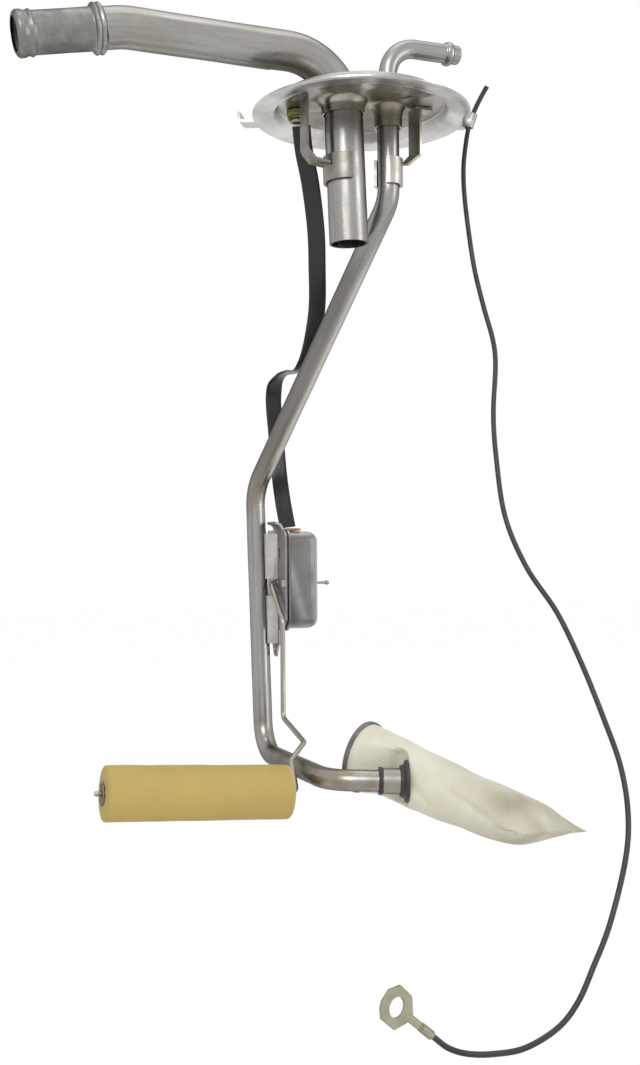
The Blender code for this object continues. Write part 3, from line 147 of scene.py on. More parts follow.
def make_world():
    """White where a camera, mirror or glass ray meets it, and a softer grey as a light."""
    world = bpy.data.worlds.new("studio")
    bpy.context.scene.world = world
    look = Tree(world)
    look.nodes.clear()
    rays = look.node("LightPath").outputs
    seen = look.larger(rays["Is Camera Ray"], rays["Is Glossy Ray"])
    soft, white = (look.node("Background", Color=WHITE, Strength=strength) for strength in (WORLD_LIGHT, 1.0))
    look.put_mixed(look.larger(seen, rays["Is Transmission Ray"]), soft, white, "OutputWorld")


def make_floor():
    """Pale paint that also glows white where a camera or mirror ray meets it."""
    mesh = bpy.data.meshes.new("floor")
    half = FLOOR_SIZE / 2
    corners = [(-half, -half), (half, -half), (half, half), (-half, half)]
    mesh.from_pydata([(x, y, FLOOR_HEIGHT) for x, y in corners], [], [(0, 1, 2, 3)])
    floor = placed("floor", mesh)
    material = bpy.data.materials.new("floor")
    look = Tree(material)
    look.nodes.clear()
    rays = look.node("LightPath").outputs
    seen = look.larger(rays["Is Camera Ray"], rays["Is Glossy Ray"])
    paint = look.node("BsdfDiffuse", Color=FLOOR_PAINT)
    glow = look.node("Emission", Color=WHITE, Strength=FLOOR_GLOW)
    look.put_mixed(look.times(seen, FLOOR_GLOW_SHARE), paint, glow, "OutputMaterial")
    mesh.materials.append(material)


make_camera()
make_world()
make_floor()
for lamp_row in LAMPS:
    make_lamp(*lamp_row)


# Materials


class Surface(Tree):
    """A material made of a few named patterns, in the object's own metres or along its UV map."""

    def __init__(self, name, roughness, edge=None, coordinates="Object"):
        """edge is a metal's tint at a grazing angle. A surface without one isn't a metal."""
        self.material = bpy.data.materials.new(name)
        super().__init__(self.material)
        self.shader = self.nodes["Principled BSDF"]
        self.put("Roughness", roughness)
        if edge:
            self.put("Metallic", 1.0)
            self.put("Specular Tint", edge)
        place = self.node("TexCoord")
        self.place = place.outputs[coordinates]
        self.solid_place = place.outputs["Object"]
        self.normal = place.outputs["Normal"]

    def put(self, socket, value):
        self.feed(self.shader.inputs[socket], value)

    def put_specked(self, base, dark, scale=1200, amount=0.25):
        """The base colour with fine dark specks. Gives the specks' pattern."""
        specks = self.cloud(scale, 2, 0.5)
        self.put("Base Color", self.blend(self.remap(specks, 0.60, 0.74, 0, amount), base, dark))
        return specks

    def put_relief(self, *layers):
        """Bumps of (height, depth in metres, strength), each laid over the one before."""
        under = {}
        for height, depth, strength in layers:
            bump = self.node("Bump", Strength=strength, Distance=depth, Height=height, **under)
            under = {"Normal": bump.outputs["Normal"]}
        self.put("Normal", under["Normal"])

    def put_scatter(self, weight, reach):
        """Light that goes a little way into the material. reach is in metres for each colour."""
        self.put("Subsurface Weight", weight)
        self.put("Subsurface Radius", reach)

    def stretched(self, scale, place):
        return self.node("Mapping", Scale=scale, Vector=place).outputs["Vector"]

    def cloud(self, scale, detail, roughness, along=None):
        """A noise of features about 1 / scale metres wide."""
        place = along or self.solid_place
        noises = self.node("TexNoise", Scale=scale, Detail=detail, Roughness=roughness, Vector=place)
        return noises.outputs["Fac"]

    def streaks(self, scale, stretch):
        """A noise drawn out along the UV map."""
        return self.cloud(scale, 4, 0.6, self.stretched((3.0, stretch, 1.0), self.place))

    def cells(self, scale):
        return self.node("TexVoronoi", Scale=scale, Vector=self.solid_place).outputs["Distance"]

    def threads(self, spacing, direction):
        """Parallel threads, spacing metres apart, across one direction of the UV map. The node's scale is
        pi / 10 of its bands a metre."""
        waves = self.node("TexWave", Scale=math.pi / (10 * spacing), Vector=self.place)
        waves.bands_direction = direction
        return waves.outputs["Fac"]

    def height_share(self, axis, low, high):
        """0 at low and 1 at high along one axis of the object, in metres."""
        return self.remap(self.node("SeparateXYZ", Vector=self.solid_place).outputs[axis], low, high)

    def band(self, axis, low, inner_low, inner_high, high):
        """1 between the inner places along an axis and 0 beyond low and high."""
        return self.times(self.height_share(axis, low, inner_low), self.height_share(axis, high, inner_high))

    def middle_share(self, inner, outer):
        """1 within the inner distance of the Z axis and 0 beyond the outer one."""
        length = self.node("VectorMath")
        length.operation = "LENGTH"
        self.feed(length.inputs[0], self.stretched((1, 1, 0), self.solid_place))
        return self.remap(length.outputs["Value"], inner, outer, 1.0, 0.0)

    def facing(self, axis, low, high):
        """0 to 1 as the part of the surface's normal along an axis goes from low to high."""
        return self.remap(self.node("SeparateXYZ", Vector=self.normal).outputs[axis], low, high)

    def remap(self, value, low, high, to_low=0.0, to_high=1.0):
        ends = {"From_Min": low, "From_Max": high, "To_Min": to_low, "To_Max": to_high}
        return self.node("MapRange", Value=value, **ends).outputs["Result"]

    def wear(self, first, second, smooth, rough):
        """A roughness that follows two patterns laid together."""
        return self.remap(self.combine("ADD", first, second), 0.75, 1.25, smooth, rough)

    def blend(self, factor, first, second):
        """first where factor is 0 and second where it is 1."""
        mix = self.node("Mix", Factor=factor)
        mix.data_type = "RGBA"
        self.feed(mix.inputs[6], first)
        self.feed(mix.inputs[7], second)
        return mix.outputs[2]


TUBE_EDGE = (0.35, 0.35, 0.335)
TUBE_SPECKS = (0.14, 0.135, 0.12)
ROD_TONES = ((0.46, 0.44, 0.38), (0.24, 0.225, 0.185), (0.38, 0.32, 0.20))
BRACKET_TONES = ((0.47, 0.46, 0.45), (0.36, 0.35, 0.34), (0.38, 0.36, 0.30))
THREAD_SPACING = 0.00055


def steel(name, light, dark, tint, roughness, tint_share=0.35, drawn=False, edge=0.35):
    """Plated or drawn steel with soft stains, a yellowish passivation, fine specks and scratches."""
    look = Surface(name, roughness, (edge, edge, edge * 0.96), "UV" if drawn else "Object")
    marks = look.streaks(150, 0.16) if drawn else look.cloud(150, 4, 0.6)
    stains = look.cloud(55, 5, 0.6)
    broad = look.cloud(24, 3, 0.5)
    base = look.blend(look.remap(marks, 0.36, 0.66), light, dark)
    shaded = look.blend(look.remap(stains, 0.40, 0.68, 0.0, 0.55), base, dark)
    tinted = look.blend(look.remap(broad, 0.50, 0.64, 0, tint_share), shaded, tint)
    specks = look.put_specked(tinted, dark, 1300, 0.30)
    look.put("Roughness", look.wear(marks, stains, roughness - 0.07, roughness + 0.12))
    look.put_relief((marks, 0.00005, 0.30), (specks, 0.00003, 0.25), (stains, 0.00030, 0.22))
    return look.material


def plastic(name, colour, shade, roughness):
    """Moulded plastic or rubber with a slight mottle and a fine grain."""
    look = Surface(name, roughness)
    mottle = look.cloud(120, 4, 0.6)
    fine = look.cloud(900, 2, 0.6)
    look.put("Base Color", look.blend(look.remap(mottle, 0.35, 0.65), colour, shade))
    look.put("Roughness", look.remap(fine, 0.35, 0.65, roughness - 0.06, roughness + 0.08))
    look.put_relief((fine, 0.00005, 0.5))
    return look.material


def vent_steel():
    """Drawn steel that is duller and mottled on the sleeve outside the double bead."""
    look = Surface("vent_steel", 0.30, TUBE_EDGE, "UV")
    marks = look.streaks(140, 0.14)
    stains = look.cloud(60, 5, 0.62)
    blots = look.cloud(130, 4, 0.6)
    clean = look.blend(look.remap(marks, 0.34, 0.68), (0.37, 0.362, 0.348), (0.275, 0.27, 0.257))
    warm = look.blend(look.remap(stains, 0.50, 0.66, 0, 0.40), clean, (0.31, 0.275, 0.20))
    dull = look.blend(look.remap(blots, 0.36, 0.64), (0.272, 0.266, 0.256), (0.185, 0.180, 0.171))
    outer = look.height_share("X", -0.1140, -0.1170)
    look.put_specked(look.blend(outer, warm, dull), TUBE_SPECKS, 1300)
    rough = look.wear(marks, blots, 0.22, 0.42)
    look.put("Roughness", look.combine("ADD", rough, look.times(outer, 0.08)))
    look.put_relief((marks, 0.00005, 0.30), (stains, 0.00025, 0.25))
    return look.material


def pickup_steel():
    """Grey drawn steel with yellow-brown heat tint at two bends, and on the slanted run a painted shade on one
    side and a painted highlight on the other.
    """
    look = Surface("fuel_steel", 0.30, TUBE_EDGE, "UV")
    marks = look.streaks(170, 0.12)
    stains = look.cloud(75, 5, 0.62)
    plain = look.blend(look.remap(marks, 0.36, 0.66), (0.37, 0.36, 0.345), (0.27, 0.265, 0.255))
    slant = look.band("Z", -0.170, -0.145, -0.065, -0.045)
    # Painted shade on the slanted run's side facing -X and a painted highlight on its side facing +X.
    painted_slant_light = look.blend(look.facing("X", -0.35, 0.30), (0.155, 0.147, 0.135), (0.62, 0.60, 0.57))
    base = look.blend(look.times(slant, 0.72), plain, painted_slant_light)
    low, middle = look.height_share("Z", -0.2600, -0.2780), look.band("Z", -0.1750, -0.1560, -0.1450, -0.1200)
    heated = look.times(look.larger(low, middle), look.remap(stains, 0.42, 0.60, 0, 0.75))
    look.put_specked(look.blend(heated, base, (0.25, 0.215, 0.150)), TUBE_SPECKS, 1400)
    look.put("Roughness", look.wear(marks, stains, 0.22, 0.40))
    look.put_relief((marks, 0.00005, 0.30), (stains, 0.00025, 0.25))
    return look.material


def plated_flange():
    """Zinc plate with painted shade towards the front and on the upper side, and a brassy wash round the
    collars.
    """
    look = Surface("zinc_plate", 0.34, (0.95, 0.95, 0.93))
    cloudy = look.cloud(45, 4, 0.55)
    wash = look.cloud(85, 4, 0.6)
    plate = look.blend(look.remap(cloudy, 0.38, 0.64), (0.70, 0.69, 0.67), (0.50, 0.49, 0.465))
    # Painted shade: the plate darker towards its front edge (-Y), mottled by the wash noise.
    near = look.times(look.height_share("Y", -0.012, -0.044), look.remap(wash, 0.30, 0.60, 0.55, 0.85))
    under = look.blend(near, plate, (0.34, 0.33, 0.31))
    # Painted shade on the upward-facing side of the plate.
    base = look.blend(look.times(look.facing("Z", 0.05, 0.50), 0.85), under, (0.30, 0.295, 0.28))
    collars = look.times(look.middle_share(0.028, 0.034), look.height_share("Z", 0.0080, 0.0050))
    brassy = look.times(collars, look.remap(wash, 0.38, 0.60, 0.70, 0.98))
    specks = look.put_specked(look.blend(brassy, base, (0.27, 0.245, 0.185)), (0.16, 0.155, 0.14))
    look.put("Roughness", look.wear(cloudy, wash, 0.27, 0.44))
    look.put_relief((cloudy, 0.0004, 0.25), (specks, 0.00003, 0.2))
    return look.material


def can_steel():
    """Dull steel on the drawn can, with a painted highlight along its rounded edges."""
    look = Surface("can_steel", 0.40, (0.9, 0.9, 0.88))
    places = [vertex.co for vertex in NODES["sender_can"].data.vertices]
    closed, top, foot = max(p.x for p in places), max(p.z for p in places), min(p.z for p in places)
    # Painted highlight: paler bands along the can's rounded top, bottom and closed edges.
    upper = look.height_share("Z", top - 0.0042, top - 0.0016)
    lower = look.height_share("Z", foot + 0.0042, foot + 0.0016)
    front = look.height_share("X", closed - 0.0036, closed - 0.0014)
    edge_highlight = look.larger(look.larger(upper, lower), front)
    cloudy = look.cloud(70, 4, 0.55)
    dull = look.blend(look.remap(cloudy, 0.36, 0.66), (0.190, 0.187, 0.182), (0.158, 0.155, 0.150))
    edge_highlighted = look.blend(look.times(edge_highlight, 0.8), dull, (0.50, 0.49, 0.48))
    specks = look.put_specked(edge_highlighted, (0.12, 0.118, 0.11))
    look.put("Roughness", look.remap(cloudy, 0.35, 0.65, 0.34, 0.46))
    look.put_relief((cloudy, 0.0003, 0.2), (specks, 0.00003, 0.2))
    return look.material


def foam():
    """Closed-cell float foam: tan, faintly mottled, with fine open cells and a paler end."""
    look = Surface("tan_foam", 0.72)
    mottle = look.cloud(60, 4, 0.6)
    fine = look.cloud(700, 3, 0.6)
    cells = look.cells(1500)
    tan = look.blend(look.remap(mottle, 0.38, 0.64), (0.500, 0.372, 0.112), (0.472, 0.347, 0.102))
    pale = look.height_share("X", -0.0236, -0.0228)
    ends = look.blend(look.times(pale, 0.55), tan, (0.68, 0.52, 0.27))
    look.put("Base Color", look.blend(look.remap(cells, 0.0, 0.25, 0.22, 0.0), ends, (0.36, 0.23, 0.07)))
    look.put_scatter(0.08, (0.0015, 0.0009, 0.0004))
    look.put_relief((cells, 0.00009, 0.35), (fine, 0.00012, 0.35))
    return look.material


def sock_nylon():
    """Woven filter cloth: cream, a little see-through, with an olive-grey painted shade low on the bag."""
    look = Surface("cream_nylon", 0.62, coordinates="UV")
    weave = look.times(look.threads(THREAD_SPACING, "X"), look.threads(THREAD_SPACING, "Y"))
    mottle = look.cloud(70, 4, 0.6)
    shade_mottle = look.cloud(38, 3, 0.5)
    cloth = look.blend(look.remap(mottle, 0.36, 0.64), (0.78, 0.76, 0.64), (0.72, 0.69, 0.55))
    seam = look.height_share("X", 0.0655, 0.0705)
    # Painted shade, olive-grey and mottled, low on the bag towards its sewn end.
    side = look.times(look.height_share("X", 0.030, 0.048), look.height_share("Z", -0.270, -0.290))
    painted_shade_share = look.times(side, look.remap(shade_mottle, 0.32, 0.58, 0.35, 0.95))
    shaded_cloth = look.blend(painted_shade_share, cloth, (0.38, 0.355, 0.245))
    sewn = look.blend(look.times(seam, 0.45), shaded_cloth, (0.38, 0.36, 0.28))
    look.put("Base Color", look.blend(look.times(weave, 0.18), sewn, (0.50, 0.48, 0.38)))
    look.put_scatter(0.25, (0.0030, 0.0026, 0.0018))
    look.put_relief((weave, 0.00010, 0.45), (mottle, 0.0004, 0.30))
    return look.material


FITTING_STEEL = steel("fitting_steel", (0.38, 0.37, 0.35), (0.28, 0.275, 0.26), (0.31, 0.27, 0.19), 0.34)
ZINC = steel("zinc_steel", (0.47, 0.46, 0.44), (0.30, 0.29, 0.27), (0.38, 0.33, 0.21), 0.36)
FLANGE_ZINC = plated_flange()
VENT_STEEL = vent_steel()
FUEL_STEEL = pickup_steel()
STRAP = steel("strap_steel", (0.31, 0.30, 0.28), (0.19, 0.185, 0.17), (0.28, 0.24, 0.16), 0.38, edge=0.8)
CAN_STEEL = can_steel()
# A lighter copy of the strap steel for the fuel strap: painted light where that strap sits in shade.
PAINTED_LIGHT_STRAP = steel("painted_light_strap", (0.60, 0.58, 0.54), (0.42, 0.40, 0.37), (0.45, 0.39, 0.27), 0.38, edge=0.8)
BRACKET = steel("bracket_steel", *BRACKET_TONES, 0.44, 0.2, edge=0.6)
WIRE_STEEL = steel("rod_wire", *ROD_TONES, 0.28, drawn=True)
ROD_STEEL = steel("rod_parts", *ROD_TONES, 0.30)
TERMINAL_ZINC = steel("terminal_zinc", (0.38, 0.365, 0.28), (0.28, 0.265, 0.195), (0.33, 0.30, 0.17), 0.42)
BRASS = steel("brass", (0.56, 0.42, 0.18), (0.36, 0.25, 0.09), (0.45, 0.33, 0.15), 0.32)
OLIVE = plastic("olive_plastic", (0.27, 0.28, 0.06), (0.16, 0.17, 0.035), 0.45)
BOARD = plastic("phenolic_board", (0.38, 0.19, 0.06), (0.24, 0.11, 0.03), 0.5)
RED = plastic("red_rubber", (0.50, 0.02, 0.02), (0.33, 0.01, 0.01), 0.45)
BLACK_PVC = plastic("black_pvc", (0.011, 0.011, 0.011), (0.007, 0.007, 0.007), 0.32)
WIRE_PVC = plastic("wire_pvc", (0.028, 0.028, 0.029), (0.014, 0.014, 0.014), 0.46)
GREY_PLASTIC = plastic("grey_plastic", (0.17, 0.16, 0.15), (0.11, 0.10, 0.09), 0.42)
DARK_RUBBER = plastic("dark_rubber", (0.030, 0.028, 0.025), (0.015, 0.014, 0.013), 0.5)
FOAM = foam()
NYLON = sock_nylon()

# Material and finish slot of each node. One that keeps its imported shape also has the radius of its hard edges
# and the angle in degrees that makes an edge hard.
LOOKS = {
    "flange_plate": (FLANGE_ZINC, "zinc_steel", 0.0, 40),
    "vent_tube": (VENT_STEEL, "tube_steel"),
    "fuel_pickup_tube": (FUEL_STEEL, "tube_steel"),
    "vent_tube_strap": (STRAP, "strap_steel", 0.00022, 35),
    "fuel_tube_strap": (PAINTED_LIGHT_STRAP, "strap_steel", 0.00022, 35),
    "red_slip": (RED, "red_rubber", 0.00015, 40),
    "lower_insulator": (OLIVE, "olive_plastic", 0.0002, 40),
    "upper_insulator": (OLIVE, "olive_plastic", 0.0002, 40),
    "lead_eyelet": (BRASS, "brass", 0.00012, 40),
    "terminal_stud": (ZINC, "zinc_steel", 0.00015, 40),
    "terminal_nut": (ZINC, "zinc_steel", 0.00025, 40),
    "flat_lead": (BLACK_PVC, "black_pvc"),
    "lead_board": (BOARD, "phenolic_board", 0.00015, 40),
    "sender_bracket": (BRACKET, "bracket_steel", 0.0002, 35),
    "sender_can": (CAN_STEEL, "bracket_steel", 0.0, 50),
    "resistor_card": (BOARD, "phenolic_board", 0.0002, 40),
    "resistance_winding": (BRASS, "brass", 0.0001, 40),
    "pivot_shaft": (ZINC, "zinc_steel"),
    "wiper_hub": (OLIVE, "olive_plastic", 0.0002, 40),
    "wiper": (BRASS, "brass", 0.0001, 40),
    "float_rod": (WIRE_STEEL, "wire_steel"),
    "float": (FOAM, "tan_foam"),
    "float_retainer": (ROD_STEEL, "wire_steel", 0.0001, 35),
    "tube_ring": (DARK_RUBBER, "dark_rubber", 0.0003, 40),
    "filter_fitting": (FITTING_STEEL, "bracket_steel", 0.00015, 40),
    "filter_grommet": (DARK_RUBBER, "dark_rubber", 0.0003, 40),
    "filter_sock": (NYLON, "cream_nylon"),
    "sock_ring": (GREY_PLASTIC, "grey_plastic", 0.0003, 40),
    "ground_wire": (WIRE_PVC, "black_pvc"),
    "ground_crimp": (ZINC, "zinc_steel", 0.00012, 35),
    "ring_terminal": (TERMINAL_ZINC, "zinc_steel", 0.00018, 35),
}
BODY_OF = {node: body for body, nodes in frame["record"]["behaviour"]["bodies"].items() for node in nodes}


def dress_nodes():
    for name, (material, *_) in LOOKS.items():
        mesh = NODES[name].data
        mesh.materials.clear()
        mesh.materials.append(material)


dress_nodes()


# Routes and sections


def filleted(corners, radii, turn_step=math.radians(2)):
    """The corner points of a route with a round bend at each inner one."""
    points = [Vector(corners[0])]
    for before, corner, after, radius in zip(corners, corners[1:], corners[2:], radii):
        arriving = (corner - before).normalized()
        leaving = (after - corner).normalized()
        turn = arriving.angle(leaving)
        inward = (leaving - arriving).normalized()
        centre = corner + inward * radius / math.cos(turn / 2)
        first = corner - arriving * radius * math.tan(turn / 2) - centre
        axis = arriving.cross(leaving)
        steps = max(2, math.ceil(turn / turn_step))
        for i in range(steps + 1):
            points.append(centre + Matrix.Rotation(turn * i / steps, 3, axis) @ first)
    points.append(Vector(corners[-1]))
    return points


def between(before, start, end, after, t):
    """The smooth curve through four points or numbers, a share t of the way from start to end."""
    return 0.5 * (
        2 * start
        + (end - before) * t
        + (2 * before - 5 * start + 4 * end - after) * t * t
        + (3 * start - before - 3 * end + after) * t**3
    )


def smooth_route(points, steps):
    """Points on a smooth curve through the route's own points."""
    made = []
    for i in range(len(points) - 1):
        four = (points[max(i - 1, 0)], points[i], points[i + 1], points[min(i + 2, len(points) - 1)])
        made += [between(*four, k / steps) for k in range(steps)]
    made.append(points[-1].copy())
    return made


def route_length(points):
    return sum((b - a).length for a, b in zip(points, points[1:]))


def at_distances(points, distances):
    """The points of the route at these distances from its start, in rising order."""
    made = []
    i, walked = 0, 0.0
    for distance in distances:
        while i < len(points) - 2 and walked + (points[i + 1] - points[i]).length < distance:
            walked += (points[i + 1] - points[i]).length
            i += 1
        run = points[i + 1] - points[i]
        made.append(points[i] + run * ((distance - walked) / run.length))
    return made


def carried_frames(points, first_side):
    """(point, side, up) along a route. The side turns with the route and never twists about it."""
    made = []
    side = Vector(first_side)
    for i, point in enumerate(points):
        ahead = points[min(i + 1, len(points) - 1)]
        behind = points[max(i - 1, 0)]
        along = (ahead - behind).normalized()
        side = (side - along * side.dot(along)).normalized()
        made.append((point, side, along.cross(side)))
    return made


def steps_between(start, end, step):
    count = max(1, round((end - start) / step))
    return [start + (end - start) * i / count for i in range(count)]


def blended(value, table):
    """The value's place in a table of (place, size), with soft turns between the entries."""
    if value <= table[0][0]:
        return table[0][1]
    for (low, first), (high, second) in zip(table, table[1:]):
        if value <= high:
            t = (value - low) / (high - low)
            return first + (second - first) * t * t * (3 - 2 * t)
    return table[-1][1]


def loft(name, loops, joined=False):
    """Quads between loops of as many points each, with closed ends unless the last loop joins the first.
    The UV map is the distance round and along, in metres."""
    shape = bmesh.new()
    around = len(loops[0])
    rings = [[shape.verts.new(point) for point in loop] for loop in loops]
    uv = shape.loops.layers.uv.new("UVMap")
    pairs = list(zip(rings, rings[1:]))
    if joined:
        pairs.append((rings[-1], rings[0]))
    girth = max(sum((a - b).length for a, b in zip(loop, [*loop[1:], loop[0]])) for loop in loops)
    walked = 0.0
    for first, second in pairs:
        step = sum((a.co - b.co).length for a, b in zip(first, second)) / around
        for i in range(around):
            k = (i + 1) % around
            face = shape.faces.new((first[i], first[k], second[k], second[i]))
            places = ((i, 0), (i + 1, 0), (i + 1, 1), (i, 1))
            for corner, (column, row) in zip(face.loops, places):
                corner[uv].uv = (girth * column / around, walked + step * row)
        walked += step
    if not joined:
        shape.faces.new(rings[0])
        shape.faces.new(rings[-1])
    bmesh.ops.recalc_face_normals(shape, faces=shape.faces)
    mesh = bpy.data.meshes.new(name)
    shape.to_mesh(mesh)
    shape.free()
    return mesh


def shown_piece(name, mesh, node, sharp=40):
    """A piece in the scene that stands for a CAD node, rides its body and takes its look."""
    material, finish_slot, *_ = LOOKS[node]
    obj = placed(name, mesh)
    mesh.materials.clear()
    mesh.materials.append(material)
    mesh.shade_smooth()
    mesh.set_sharp_from_angle(angle=math.radians(sharp))
    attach(obj, BODY_OF[node])
    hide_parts(node)
    return obj


def wrinkled(point, scale, depth):
    """A small offset from a soft noise, so that a surface isn't perfectly true."""
    return noise.noise(point * scale) * depth


def uneven(point, angle, waves, scale, depth):
    """A small offset that varies along a tube, waves a metre, and round it."""
    return wrinkled(point * waves + Vector((math.cos(angle), math.sin(angle), 0)), scale, depth)


def angles_round(sides):
    return [2 * math.pi * i / sides for i in range(sides)]


def ring_of(centre, side, up, radius, sides):
    turns = angles_round(sides)
    return [centre + (side * math.cos(turn) + up * math.sin(turn)) * radius for turn in turns]


def walled(name, frames, radii, wall, sides, reach_at):
    """A tube with an outer and an inner surface. reach_at(ring, angle, radius) is a point's distance."""
    outer, inner = [], []
    for i, ((point, side, up), radius) in enumerate(zip(frames, radii)):
        for size, rings in ((radius, outer), (radius - wall, inner)):
            loop = []
            for angle in angles_round(sides):
                reach = reach_at(i, angle, size)
                loop.append(point + side * math.cos(angle) * reach + up * math.sin(angle) * reach)
            rings.append(loop)
    return loft(name, outer + inner[::-1], joined=True)


def bent_tube(corners, bends, first_side, mouth_run, steps):
    """(distances from the mouth, frames) along a tube, by a coarse step and a fine one near its mouth."""
    route = filleted(corners, bends)
    total = route_length(route)
    coarse, fine = steps
    near = total - mouth_run
    distances = [*steps_between(0, near, coarse), *steps_between(near, total, fine), total]
    frames = carried_frames(at_distances(route, distances), first_side)
    return [total - distance for distance in distances], frames


# Tubes

VENT_RADIUS = 0.0083
VENT_WALL = 0.0010
VENT_CORNERS = (
    Vector((-0.0066, -0.0015, -0.0554)),
    Vector((-0.0097, -0.0015, 0.0234)),
    Vector((-0.1035, -0.0015, 0.0247)),
    Vector((-0.1464, -0.0015, 0.0161)),
)
VENT_BENDS = (0.0254, 0.0350)
# Distance from the rolled mouth, and how far the surface stands off the drawn tube
VENT_RELIEF = (
    (0.0000, -0.0006),
    (0.0005, 0.0003),
    (0.0013, 0.0008),
    (0.0030, 0.0008),
    (0.0042, 0.0004),
    (0.0050, 0.0002),
    (0.0057, 0.0006),
    (0.0063, 0.0008),
    (0.0069, 0.0004),
    (0.0075, 0.0001),
    (0.0200, 0.0001),
    (0.0306, 0.0002),
    (0.0313, 0.0014),
    (0.0319, 0.0019),
    (0.0325, 0.0017),
    (0.0330, 0.0013),
    (0.0335, 0.0017),
    (0.0342, 0.0019),
    (0.0349, 0.0014),
    (0.0356, 0.0000),
)
VENT_RELIEF_END = 0.0400
VENT_STEPS = (0.0009, 0.00025)
VENT_SIDES = 72
# Waves a metre along the tube, scale and depth of its slight unevenness
VENT_UNEVENNESS = (40, 1.4, 0.00012)
BEND_FLATTENING = 0.06
BEND_FADE = 12
BEND_MARGIN = 0.006
TUBE_SHARP = 60


def make_vent_tube():
    """The drawn vent tube: double bead, rolled mouth, and a bend whose inner side is pressed flatter."""
    to_mouth, frames = bent_tube(VENT_CORNERS, VENT_BENDS, (0, 1, 0), VENT_RELIEF_END, VENT_STEPS)
    radii = [VENT_RADIUS + blended(distance, VENT_RELIEF) for distance in to_mouth]
    turn_centre = VENT_CORNERS[1] + Vector((-VENT_BENDS[0], 0, -VENT_BENDS[0]))

    def pressed(i, angle, radius):
        point, side, up = frames[i]
        reach = point - turn_centre
        facing = -(side * math.cos(angle) + up * math.sin(angle)).dot(reach.normalized())
        in_bend = max(0.0, 1 - abs(reach.length / VENT_BENDS[0] - 1) * BEND_FADE)
        if reach.x <= -BEND_MARGIN or reach.z <= -BEND_MARGIN:
            in_bend = 0.0
        dent = BEND_FLATTENING * in_bend * max(0.0, facing) ** 2
        return radius * (1 - dent) + uneven(point, angle, *VENT_UNEVENNESS)

    mesh = walled("vent_tube_skin", frames, radii, VENT_WALL, VENT_SIDES, pressed)
    shown_piece("vent_tube_skin", mesh, "vent_tube", TUBE_SHARP)


FUEL_RADIUS = 0.00476
FUEL_OUTLET_RADIUS = 0.0040
FUEL_WALL = 0.0007
FUEL_CORNERS = (
    Vector((0.0205, 0.0080, -0.2866)),
    Vector((-0.0104, 0.0182, -0.2858)),
    Vector((-0.0104, 0.1108, -0.2858)),
    Vector((-0.0143, 0.1111, -0.1543)),
    Vector((0.0122, -0.0007, -0.0350)),
    Vector((0.0123, -0.0007, 0.0325)),
    Vector((0.0460, -0.0007, 0.0325)),
)
FUEL_BENDS = (0.016, 0.016, 0.022, 0.015, 0.0125)
FUEL_RELIEF = (
    (0.0000, -0.0004),
    (0.0006, 0.0000),
    (0.0032, 0.0000),
    (0.0042, 0.0009),
    (0.0052, 0.0011),
    (0.0062, 0.0009),
    (0.0072, 0.0000),
)
FUEL_RELIEF_END = 0.0100
FUEL_STEPS = (0.0010, 0.0003)
FUEL_SIDES = 48
FUEL_UNEVENNESS = (60, 1.2, 0.00008)
NECKING_HEIGHTS = (0.0040, 0.0110)


def make_fuel_tube():
    """The pickup tube, a size smaller above the flange, with its bead."""
    to_mouth, frames = bent_tube(FUEL_CORNERS, FUEL_BENDS, (0, 0, 1), FUEL_RELIEF_END, FUEL_STEPS)
    low, high = NECKING_HEIGHTS
    radii = []
    for distance, (point, _, _) in zip(to_mouth, frames):
        share = min(1.0, max(0.0, (point.z - low) / (high - low)))
        radius = FUEL_RADIUS + (FUEL_OUTLET_RADIUS - FUEL_RADIUS) * share
        radii.append(radius + blended(distance, FUEL_RELIEF))

    def reach(i, angle, radius):
        return radius + uneven(frames[i][0], angle, *FUEL_UNEVENNESS)

    mesh = walled("fuel_tube_skin", frames, radii, FUEL_WALL, FUEL_SIDES, reach)
    shown_piece("fuel_tube_skin", mesh, "fuel_pickup_tube", TUBE_SHARP)


# Float arm

PIVOT = Vector((-0.0080, 0.1050, -0.2013))
ROD_RADIUS = 0.00119
GAP = 0.0003
ARM_CRANK = 0.0180
ARM_DROP = 0.0470
ARM_REACH = Vector((0.0, -0.0310, -0.0080))
ARM_HOOK = Vector((-0.0100, -0.0100, -0.0065))
FLOAT_RADIUS = 0.0121
FLOAT_LENGTH = 0.0830
FLOAT_END = Vector((-0.0222, 0.0375, -0.2932))
FLOAT_TILT = math.radians(3.2)
FLOAT_AXIS = Vector((-math.cos(FLOAT_TILT), 0, math.sin(FLOAT_TILT)))
ROD_TAIL = 0.0036
ROD_START = Vector((0.0023, 0, 0))
ROD_BENDS = (0.0018, 0.0040, 0.0035, 0.0030, 0.0030, 0.0022)
# How far before the float the wire comes into line with its bore
ROD_LEAD_IN = 0.0040
ROD_STEP = 0.0007
ROD_SIDES = 20
ROD_END_SHARE = 0.8


